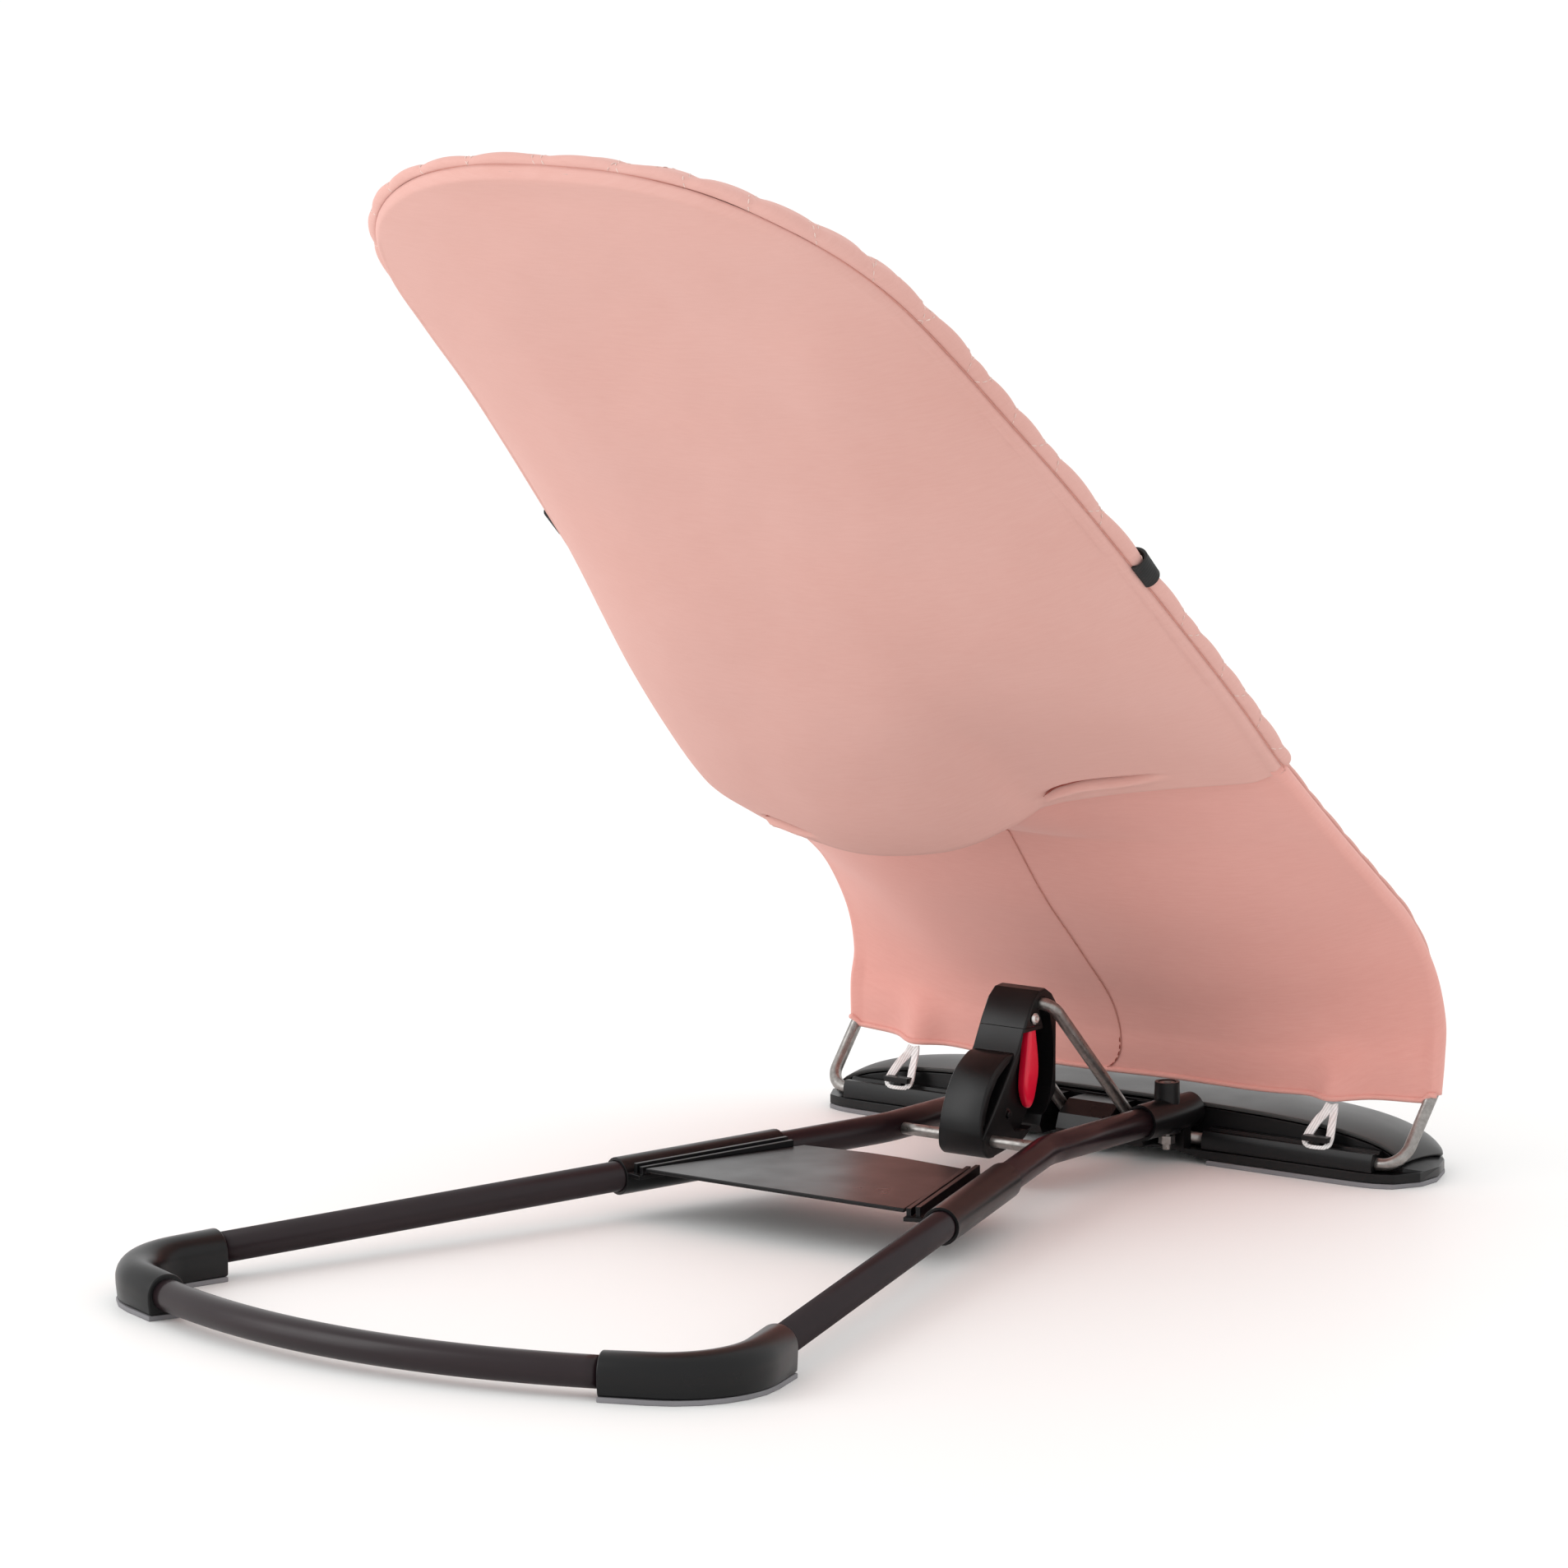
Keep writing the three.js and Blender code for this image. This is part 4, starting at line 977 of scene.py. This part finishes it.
def lower_rows():
    """Places of the lower cloth, row by row from the hem up: round one wire, across, round the other."""
    wrap = [math.radians(a) for a in range(-80, 141, 20)]
    t = np.linspace(1, -1, 101)
    full = 1 - np.abs(t) ** 3.2
    rows = []
    for k in np.linspace(0, RIM.index_at(252), 100).astype(int):
        x_edge, s_edge, n_edge = RIM.local[k]
        x = x_edge * t
        s = s_edge + (through(CENTRE_S, s_edge) - s_edge) * full
        n = flare(x, s_edge, n_edge + (through(CENTRE_N, s_edge) - n_edge) * full)
        n = n - SLEEVE * np.abs(t) ** 6 + wander(x, s, 8.0, 60) * 1.6 * (1 - np.abs(t) ** 8)
        places = seat_points(x, s, n)
        pulled = (1 - rise(s_edge, 2, 30)) * sum(np.exp(-(((x - c) / 13) ** 2)) for c in (-LOOP_X, LOOP_X))
        places += pulled[:, None] * LOOP_PULL
        left = [RIM.at(k, SLEEVE * math.cos(a), SLEEVE * math.sin(a)) for a in reversed(wrap)]
        right = [RIM.at(RIM.count - 1 - k, SLEEVE * math.cos(a), SLEEVE * math.sin(a)) for a in wrap]
        rows.append(np.concatenate([left, places[1:-1], right]))
    return np.array(rows), len(wrap)


def lower_panel():
    """One sheet from the hem up under the pocket, its edges wrapped round the side wires."""
    rows, wrapped = lower_rows()
    panel = sheet_from("lower_panel_cloth", rows.transpose(1, 0, 2), MAT["lower"], 0.0011)
    recalc(panel)
    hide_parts("lower_panel")
    path = [Vector(p) for p in seam_path(rows, rows.shape[1] // 2)]
    seam = sweep("centre_seam", [p + FRONT * -0.0004 for p in path], ring(0.36, 8), MAT["seam"])
    hem_line = [Vector(p) for p in rows[0][wrapped - 2:3 - wrapped]]
    oval = [(1.7 * a, 1.5 * b) for a, b in ring(1, 12)]
    hem = sweep("hem_roll", hem_line, oval, MAT["lower"])
    line = [p + Vector((0.0004, 0, 0)) + FRONT * -0.0009 for p in path]
    sewn = stitch_mesh("lower_stitches", dashes(line[1:18], FRONT * -1), "tuck")
    for piece in (seam, hem, panel, sewn):
        soft_finish(piece)


# ---- stitches ----

STITCH_LONG, STITCH_GAP, STITCH_R = 0.0026, 0.0014, 0.00028


def dashes(line, normal):
    """Start, end and normal of each stitch along a line."""
    array = np.array(line)
    edges = np.concatenate([[0], np.cumsum([(b - a).length for a, b in zip(line, line[1:])])])

    def at(d):
        return Vector([float(np.interp(d, edges, array[:, i])) for i in range(3)])

    result = []
    run = 0.0
    while run + STITCH_LONG < edges[-1]:
        result.append((at(run), at(run + STITCH_LONG), normal))
        run += STITCH_LONG + STITCH_GAP
    return result


def stitch_mesh(name, items, material="thread"):
    """All stitches of one seam as small rounded threads."""
    verts, faces = [], []
    for a, b, normal in items:
        along = b - a
        side = along.cross(normal).normalized() * STITCH_R * 1.3
        up = Vector(normal).normalized() * STITCH_R
        base = len(verts)
        for t, k in ((0.0, 0.45), (0.25, 1.0), (0.75, 1.0), (1.0, 0.45)):
            p = a + along * t + up * (0.9 if 0 < t < 1 else -0.2)
            verts += [p - side * k, p + up * k, p + side * k, p - up * k]
        for first in range(base, base + 12, 4):
            for c, d in ((0, 1), (1, 2), (2, 3), (3, 0)):
                faces.append((first + c, first + d, first + 4 + d, first + 4 + c))
        faces.append((base + 3, base + 2, base + 1, base))
        faces.append((base + 12, base + 13, base + 14, base + 15))
    obj = add_object(name, verts, faces, MAT[material])
    recalc(obj)
    return obj


# ---- padded front ----

QUILT = 46.0


def quilt_height(x, s):
    """0 on the stitched lines of the diamond quilting, 1 at the middle of each puff."""
    a = np.abs(np.sin(math.pi * (x + s) / QUILT))
    b = np.abs(np.sin(math.pi * (x - s) / QUILT))
    return (a * b) ** 0.45


BAND_SECTION = [
    (4.8, -0.2), (7.4, 0.8), (9.0, 3.2), (8.6, 6.2), (5.6, 8.7), (0.5, 9.8), (-5, 10.0), (-10, 9.5),
    (-14, 8.2), (-16.4, 6.4), (-15.6, 4.9), (-12, 4.5), (-6, 4.4), (0, 4.3), (3.4, 2.8), (4.4, 0.9),
]
BAND_SKIN = 9            # how many points of the section, from its first, are the puffed skin
BAND_CORE = (-3, 7)      # where the section closes to at the band's two ends


def band_ring(i, ends):
    """The band's section at a point of the wire, puffed and gathered as it is there."""
    x, s, stand_off = RIM.local[i]
    aside, along = RIM.out[i].x, RIM.out[i].dot(UP)
    puff = float(quilt_height(x + aside * 8, s + along * 8))
    shown = rise(s, 240, 256)
    head = rise(s, 690, 728)
    shoulder = rise(s, 470, 620) * (1 - head)
    fullness = 0.62 + 0.55 * puff
    row = []
    for j, (o, m) in enumerate(BAND_SECTION):
        if j < BAND_SKIN and o > 4:
            o = 4.6 + (o - 4.6) * mix(1.0, fullness, 0.9) * (1 - 0.25 * head + 0.5 * shoulder)
        if j < BAND_SKIN and m > 3:
            m = 3.6 + (m - 3.6) * mix(1.0, fullness, 0.75) * (1 + 0.3 * shoulder)
        if m < 2:
            m += 1.6 * head
        o = mix(-16.4 + (o + 16.4) * 0.69, o, shown)
        m = mix(5.3 + 0.45 * m, m, shown)
        if o < -1:
            level = pad_level(np.array([x + aside * o]), np.array([s + along * o]))[0]
            fall = level - (stand_off + PAD_STAND)
            m += fall if s > 60 else fall * 0.6
        row.append(RIM.at(i, mix(BAND_CORE[0], o, ends), mix(BAND_CORE[1], m, ends)))
    return row


def edge_band():
    """The padded layer's edge, from the seam over the wire to where the quilting begins."""
    first = RIM.index_at(36)
    last = RIM.count - 1 - first
    rings = [band_ring(i, rise(min(i - first, last - i), -1, 10)) for i in range(first, last + 1)]
    band = tube_from("seat_edge_band", rings, MAT["quilt"])
    subdivide(band)
    soft_finish(band)
    return band


def seam_piping():
    """The folded seam allowance that closes the joint between back cloth and padded edge."""
    first = RIM.index_at(251)
    line = []
    for i in range(first, RIM.count - first):
        head = rise(RIM.local[i, 1], 655, 720)
        line.append(RIM.at(i, 4.35, 0.1 + 2.1 * head))
    cord = sweep("seam_piping", line, ring(0.72, 8), MAT["seam"])
    soft_finish(cord)


SWELL_FRAMES, SWELL_CAP = 20, 0.004
SWELLING = {
    "quality": 5, "mass": 0.25, "tension_stiffness": 12, "compression_stiffness": 12, "shear_stiffness": 4,
    "bending_stiffness": 0.4, "use_pressure": True, "shrink_min": -0.03, "vertex_group_mass": "held",
}


def swell(obj, pressure, held):
    """Blow a closed pad up a little by cloth simulation, with the held points pinned."""
    start = mesh_points(obj)
    group = obj.vertex_groups.new(name="held")
    group.add([int(i) for i in np.nonzero(held)[0]], 1.0, "REPLACE")
    cloth = obj.modifiers.new("cloth", "CLOTH")
    for key, value in SWELLING.items():
        setattr(cloth.settings, key, value)
    cloth.settings.uniform_pressure_force = pressure
    cloth.settings.effector_weights.gravity = 0
    cloth.collision_settings.use_collision = False
    cloth.point_cache.frame_start = 1
    cloth.point_cache.frame_end = SWELL_FRAMES
    scene = bpy.context.scene
    for number in range(1, SWELL_FRAMES + 1):
        scene.frame_set(number)
    depsgraph = bpy.context.evaluated_depsgraph_get()
    moved = np.array([tuple(v.co) for v in obj.evaluated_get(depsgraph).data.vertices])
    obj.modifiers.clear()
    obj.vertex_groups.clear()
    scene.frame_set(1)
    shift = moved - start
    size = np.linalg.norm(shift, axis=1, keepdims=True)
    shift *= np.minimum(1, SWELL_CAP / np.maximum(size, 1e-9))
    obj.data.vertices.foreach_set("co", (start + shift).ravel())
    obj.data.update()


def edge_of(nu, nv):
    """The grid places round the edge of a grid, in order."""
    return ([(i, 0) for i in range(nu)] + [(nu - 1, j) for j in range(1, nv)]
            + [(i, nv - 1) for i in range(nu - 2, -1, -1)] + [(0, j) for j in range(nv - 2, 0, -1)])


def pad_body(name, x, s, front, back, material):
    """A closed pad from two layers of a grid, sewn together round their edge."""
    nu, nv = x.shape
    count = nu * nv
    layers = [seat_points(x.ravel(), s.ravel(), level.ravel()) for level in (front, back)]
    faces = []
    for i in range(nu - 1):
        for j in range(nv - 1):
            a, b, c, d = i * nv + j, (i + 1) * nv + j, (i + 1) * nv + j + 1, i * nv + j + 1
            faces.append((a, b, c, d))
            faces.append((count + d, count + c, count + b, count + a))
    edge = [i * nv + j for i, j in edge_of(nu, nv)]
    for a, b in zip(edge, edge[1:] + edge[:1]):
        faces.append((b, a, count + a, count + b))
    obj = add_object(name, np.concatenate(layers), faces, material)
    recalc(obj)
    return obj


def front_pad():
    loop = RIM.outline(-12.5, 42)
    places = coons(loop, np.linspace(0, 1, 85), np.linspace(0, 1, 161))
    x, s = places[..., 0], places[..., 1]
    u, v = np.meshgrid(np.linspace(0, 1, x.shape[0]), np.linspace(0, 1, x.shape[1]), indexing="ij")
    rim_gap = np.minimum(np.minimum(u, 1 - u) * PAD_WIDE, np.minimum(v, 1 - v) * PAD_LONG)
    level = pad_level(x.ravel(), s.ravel()).reshape(x.shape)
    front = level - 6.0 + 4.2 * rise(rim_gap, 2, 16)
    back = level - 8.2 - 1.6 * rise(rim_gap, 2, 16)
    pad = pad_body("seat_front_quilt", x, s, front, back, MAT["quilt"])
    held = np.concatenate([rim_gap.ravel() < 3, np.ones(x.size, bool)])
    swell(pad, 3.0, held)
    subdivide(pad)
    points = mesh_points(pad)
    px, ps, _ = to_seat(points)
    facing = np.array([tuple(v.normal) for v in pad.data.vertices]) @ np.array(FRONT)
    gap = RIM.inside(px, ps)
    amount = rise(facing, 0.1, 0.5) * rise(gap, 14, 26) * rise(ps, 44, 60)
    depth = (4.4 * quilt_height(px, ps) - 1.9) * amount
    pucker = wander(px, ps, 2.0, 9) * (1 - quilt_height(px, ps)) * 0.8 * amount
    points += np.array(FRONT) * ((depth + pucker) / 1000)[:, None]
    pad.data.vertices.foreach_set("co", points.ravel())
    pad.data.update()
    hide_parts("seat_front_pad")
    return pad


def sewn_quilting(pad, band):
    """Stitches along the quilting lines, laid on the pad and carried over its edge band."""
    depsgraph = bpy.context.evaluated_depsgraph_get()
    trees = [BVHTree.FromObject(o, depsgraph) for o in (pad, band)]
    step = (STITCH_LONG + STITCH_GAP) * 1000 / math.sqrt(2)
    long = STITCH_LONG * 1000 / math.sqrt(2)
    start = np.arange(36, 752, step)
    found = ([], [])
    for sign in (1, -1):
        for number in range(-4, 22):
            x0, x1 = sign * (number * QUILT - start), sign * (number * QUILT - start - long)
            across = np.abs(x0) < 206
            if not across.any():
                continue
            ends = [seat_points(x[across], s[across], 60.0 + 0 * s[across])
                    for x, s in ((x0, start), (x1, start + long))]
            _, out = RIM.signed(x0[across], start[across])
            for k in np.nonzero(out < 12)[0]:
                which = int(out[k] > -15.5)
                first, second = (trees[which].ray_cast(Vector(end[k]), -FRONT) for end in ends)
                if first[0] is None or second[0] is None or (first[0] - second[0]).length > 0.007:
                    continue
                found[which].append((first[0], second[0], first[1]))
    found[1].extend(side_stitches(trees[1]))
    for name, items, keep in (("quilt_stitches", found[0], FOLDED), ("edge_stitches", found[1], None)):
        soft_finish(stitch_mesh(name, items), keep)


def side_stitches(tree):
    """Each quilting line carried round the band's outer side to the seam."""
    first = RIM.index_at(258)
    edge = np.array([(x + out.x * 8, s + out.dot(UP) * 8) for (x, s, _), out in zip(RIM.local, RIM.out)])
    cells = np.floor([(edge[:, 0] + edge[:, 1]) / QUILT, (edge[:, 0] - edge[:, 1]) / QUILT])
    items = []
    for i in range(first, RIM.count - first - 1):
        for which, lean in ((0, 1), (1, -1)):
            if cells[which, i] == cells[which, i + 1]:
                continue
            turn = lean if RIM.local[i, 0] > 0 else -lean
            if RIM.local[i, 1] > 700:
                turn *= 0.4
            line = []
            for k in range(9):
                angle = math.radians(-62 + 120 * k / 8)
                aside = RIM.front[i].cross(RIM.out[i]) * (turn * 0.0011 * (k - 4))
                around = RIM.at(i, 30 * math.cos(angle), 3.6 + 30 * math.sin(angle)) + aside
                target = RIM.at(i, 4.0, 4.0) + aside
                hit = tree.ray_cast(around, (target - around).normalized())
                if hit[0] is not None:
                    line.append(hit[0] + hit[1] * 0.0001)
            if len(line) > 3:
                items += dashes(line, RIM.out[i])
    return items


# ---- restraint flap and straps ----


def flap():
    nu, nv = 49, 73
    u, v = np.meshgrid(np.linspace(-1, 1, nu), np.linspace(0, 1, nv), indexing="ij")
    waist = 40 + 88 * rise(v, 0.28, 0.88) + 8 * (1 - rise(v, 0.0, 0.3))
    x = waist * u
    top = 12 * np.cos(u * math.pi / 2) * rise(v, 0.6, 1.0)
    s = 98 + 338 * v - top * 1.2
    level = pad_level(x.ravel(), s.ravel()).reshape(x.shape) + 8.5
    flat = stand(s) + 18.6
    lift = rise(v, 0.1, 0.9) * 0.5
    mid = level * (1 - lift) + np.maximum(flat, level) * lift
    gap = np.minimum(1 - np.abs(u), np.minimum(v, 1 - v) * 2.2)
    half = 0.9 + 2.4 * rise(gap, 0.0, 0.16)
    body = pad_body("restraint_flap_cloth", x, s, mid + half, mid - half, MAT["quilt"])
    held = np.tile((gap < 0.03).ravel(), 2)
    swell(body, 2.5, held)
    subdivide(body)
    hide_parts("restraint_flap")
    soft_finish(body, FOLDED)
    rim = edge_of(nu, nv) + [(0, 0)]
    line = [on_seat(x[i, j], s[i, j], mid[i, j]) for i, j in rim]
    binding = sweep("flap_binding", line, ring(1.9, 12), MAT["pink"])
    soft_finish(binding, FOLDED)


STRAP_S, STRAP_WIDTH = 413.0, 16.0
STRAP_WRAP = [(4.3, -0.3), (6.2, -0.5), (8.4, 0.5), (9.9, 2.8), (9.9, 5.8), (7.8, 9.0), (3.6, 11.0),
              (-2, 11.6)]
STRAP_INNER = [176, 166, 154, 142, 130, 118]
SQUARE = ((-1, -1), (-1, 1), (1, 1), (1, -1))


def ahead_of(line, k):
    """The direction of a line of places at one of them."""
    return (line[min(k + 1, len(line) - 1)] - line[max(k - 1, 0)]).normalized()


def restraint_strap(label, side):
    """Webbing from the flap's corner over the padded edge to the seam behind it."""
    i = RIM.index_at(STRAP_S)
    if side < 0:
        i = RIM.count - 1 - i
    points = [RIM.at(i, o, m) for o, m in STRAP_WRAP]
    for x in STRAP_INNER:
        level = float(pad_level(np.array([side * float(x)]), np.array([STRAP_S]))[0])
        points.append(on_seat(side * x, STRAP_S, level + 5.6 + 8 * rise(190 - x, 10, 60)))
    line = spline(points, 6)
    rings = []
    for k, p in enumerate(line):
        normal = ahead_of(line, k).cross(UP).normalized() * 0.0007
        rings.append([p + UP * (STRAP_WIDTH / 2000 * a) + normal * b for a, b in SQUARE])
    strap = tube_from(f"restraint_strap_{label}_webbing", rings, MAT["webbing"])
    strap.data.shade_flat()
    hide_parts(f"restraint_strap_{label}")
    soft_finish(strap)


# ---- elastic loops at the foot ----

# One strand of a loop, from its sewn top: how far to the side, to the rear and up of the top, in metres.
STRAND_TOP = [(0.0012, -0.0012, 0.004), (0.0026, 0.0012, -0.0005), (0.0048, 0.0062, -0.0050)]
# Then the same, measured from the foot of the hook's stem.
STRAND_FOOT = [(0.0070, 0.0004, 0.0042), (0.0062, 0.0028, 0.0004)]
LOOP_TOP = Vector((0, HINGE.y - 0.0100, 0.0345))


def hook_loop(label):
    """A white elastic sewn into the hem, open as a loop round the hook's stem."""
    low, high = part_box(f"strap_hook_{label}")
    x = (low.x + high.x) / 2
    top, foot = LOOP_TOP + Vector((x, 0, 0)), Vector((x, low.y + 0.0005, low.z))
    strands = [[start + Vector((turn * a, b, c)) for start, steps in ((top, STRAND_TOP), (foot, STRAND_FOOT))
                for a, b, c in steps] for turn in (-1, 1)]
    line = spline(strands[0] + [Vector((x, high.y - 0.0004, low.z - 0.0001))] + strands[1][::-1], 7)
    rings = []
    for k, p in enumerate(line):
        ahead = ahead_of(line, k)
        face = (Vector((0, 1, 0)) - ahead * ahead.y).normalized() * 0.00055
        narrow = 0.4 + 0.6 * rise(abs(k / (len(line) - 1) - 0.5), 0.05, 0.2)
        wide = ahead.cross(face).normalized() * (0.0025 * narrow)
        rings.append([p + wide * a + face * b for a, b in SQUARE])
    loop = tube_from(f"hem_loop_{label}", rings, MAT["elastic"])
    round_edges(loop, 0.3, 2, 30)
    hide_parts(f"strap_loop_{label}")
    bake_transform(loop)


def soft_goods():
    back_panel()
    lower_panel()
    band = edge_band()
    seam_piping()
    pad = front_pad()
    sewn_quilting(pad, band)
    soft_finish(pad, FOLDED)
    flap()
    for label, side in SIDES:
        restraint_strap(label, side)
        hook_loop(label)


# ---- run ----

base_frame()
foot_cover()
recline_block()
seat_wire()
soft_goods()


# ---- stage ----

FLOOR_REACH = 45.0
AIM = Vector((0, 0.1, 0.25))
LIGHTS = (("key", (2.3, 2.4, 2.0), 28, 1.8), ("fill", (1.9, 2.3, 0.45), 11, 1.4))   # place, watts, size


def stage():
    look = Nodes("floor")
    look.set(Roughness=0.55, Base_Color=(0.93, 0.93, 0.92, 1))
    corners = [(FLOOR_REACH * a, FLOOR_REACH * b, 0) for a, b in ((-1, -1), (1, -1), (1, 1), (-1, 1))]
    add_object("floor", corners, [(0, 1, 2, 3)], look.material)
    world = bpy.data.worlds.new("studio")
    world.use_nodes = True
    world.node_tree.nodes["Background"].inputs["Color"].default_value = (1, 1, 1, 1)
    world.node_tree.nodes["Background"].inputs["Strength"].default_value = 1.10
    bpy.context.scene.world = world
    bpy.context.scene.view_settings.view_transform = "Standard"
    bpy.context.scene.view_settings.look = "None"
    for name, place, power, size in LIGHTS:
        light = bpy.data.lights.new(name, "AREA")
        light.energy = power
        light.size = size
        lamp = bpy.data.objects.new(name, light)
        lamp.location = place
        lamp.rotation_euler = (AIM - Vector(place)).to_track_quat("-Z", "Y").to_euler()
        bpy.context.scene.collection.objects.link(lamp)


CAMERA_AT = (-2.1187, 3.1482 + HINGE.y, 0.7834)
CAMERA_DOWN, CAMERA_ROUND = 8.733, 216.612   # degrees below level, and round from looking along +Y


def camera():
    data = bpy.data.cameras.new("camera")
    data.sensor_width = 36
    data.lens = 161.9
    data.clip_end = 60
    item = bpy.data.objects.new("camera", data)
    item.location = CAMERA_AT
    item.rotation_euler = (math.radians(90 - CAMERA_DOWN), 0, math.radians(CAMERA_ROUND))
    bpy.context.scene.collection.objects.link(item)
    bpy.context.scene.camera = item


stage()
camera()
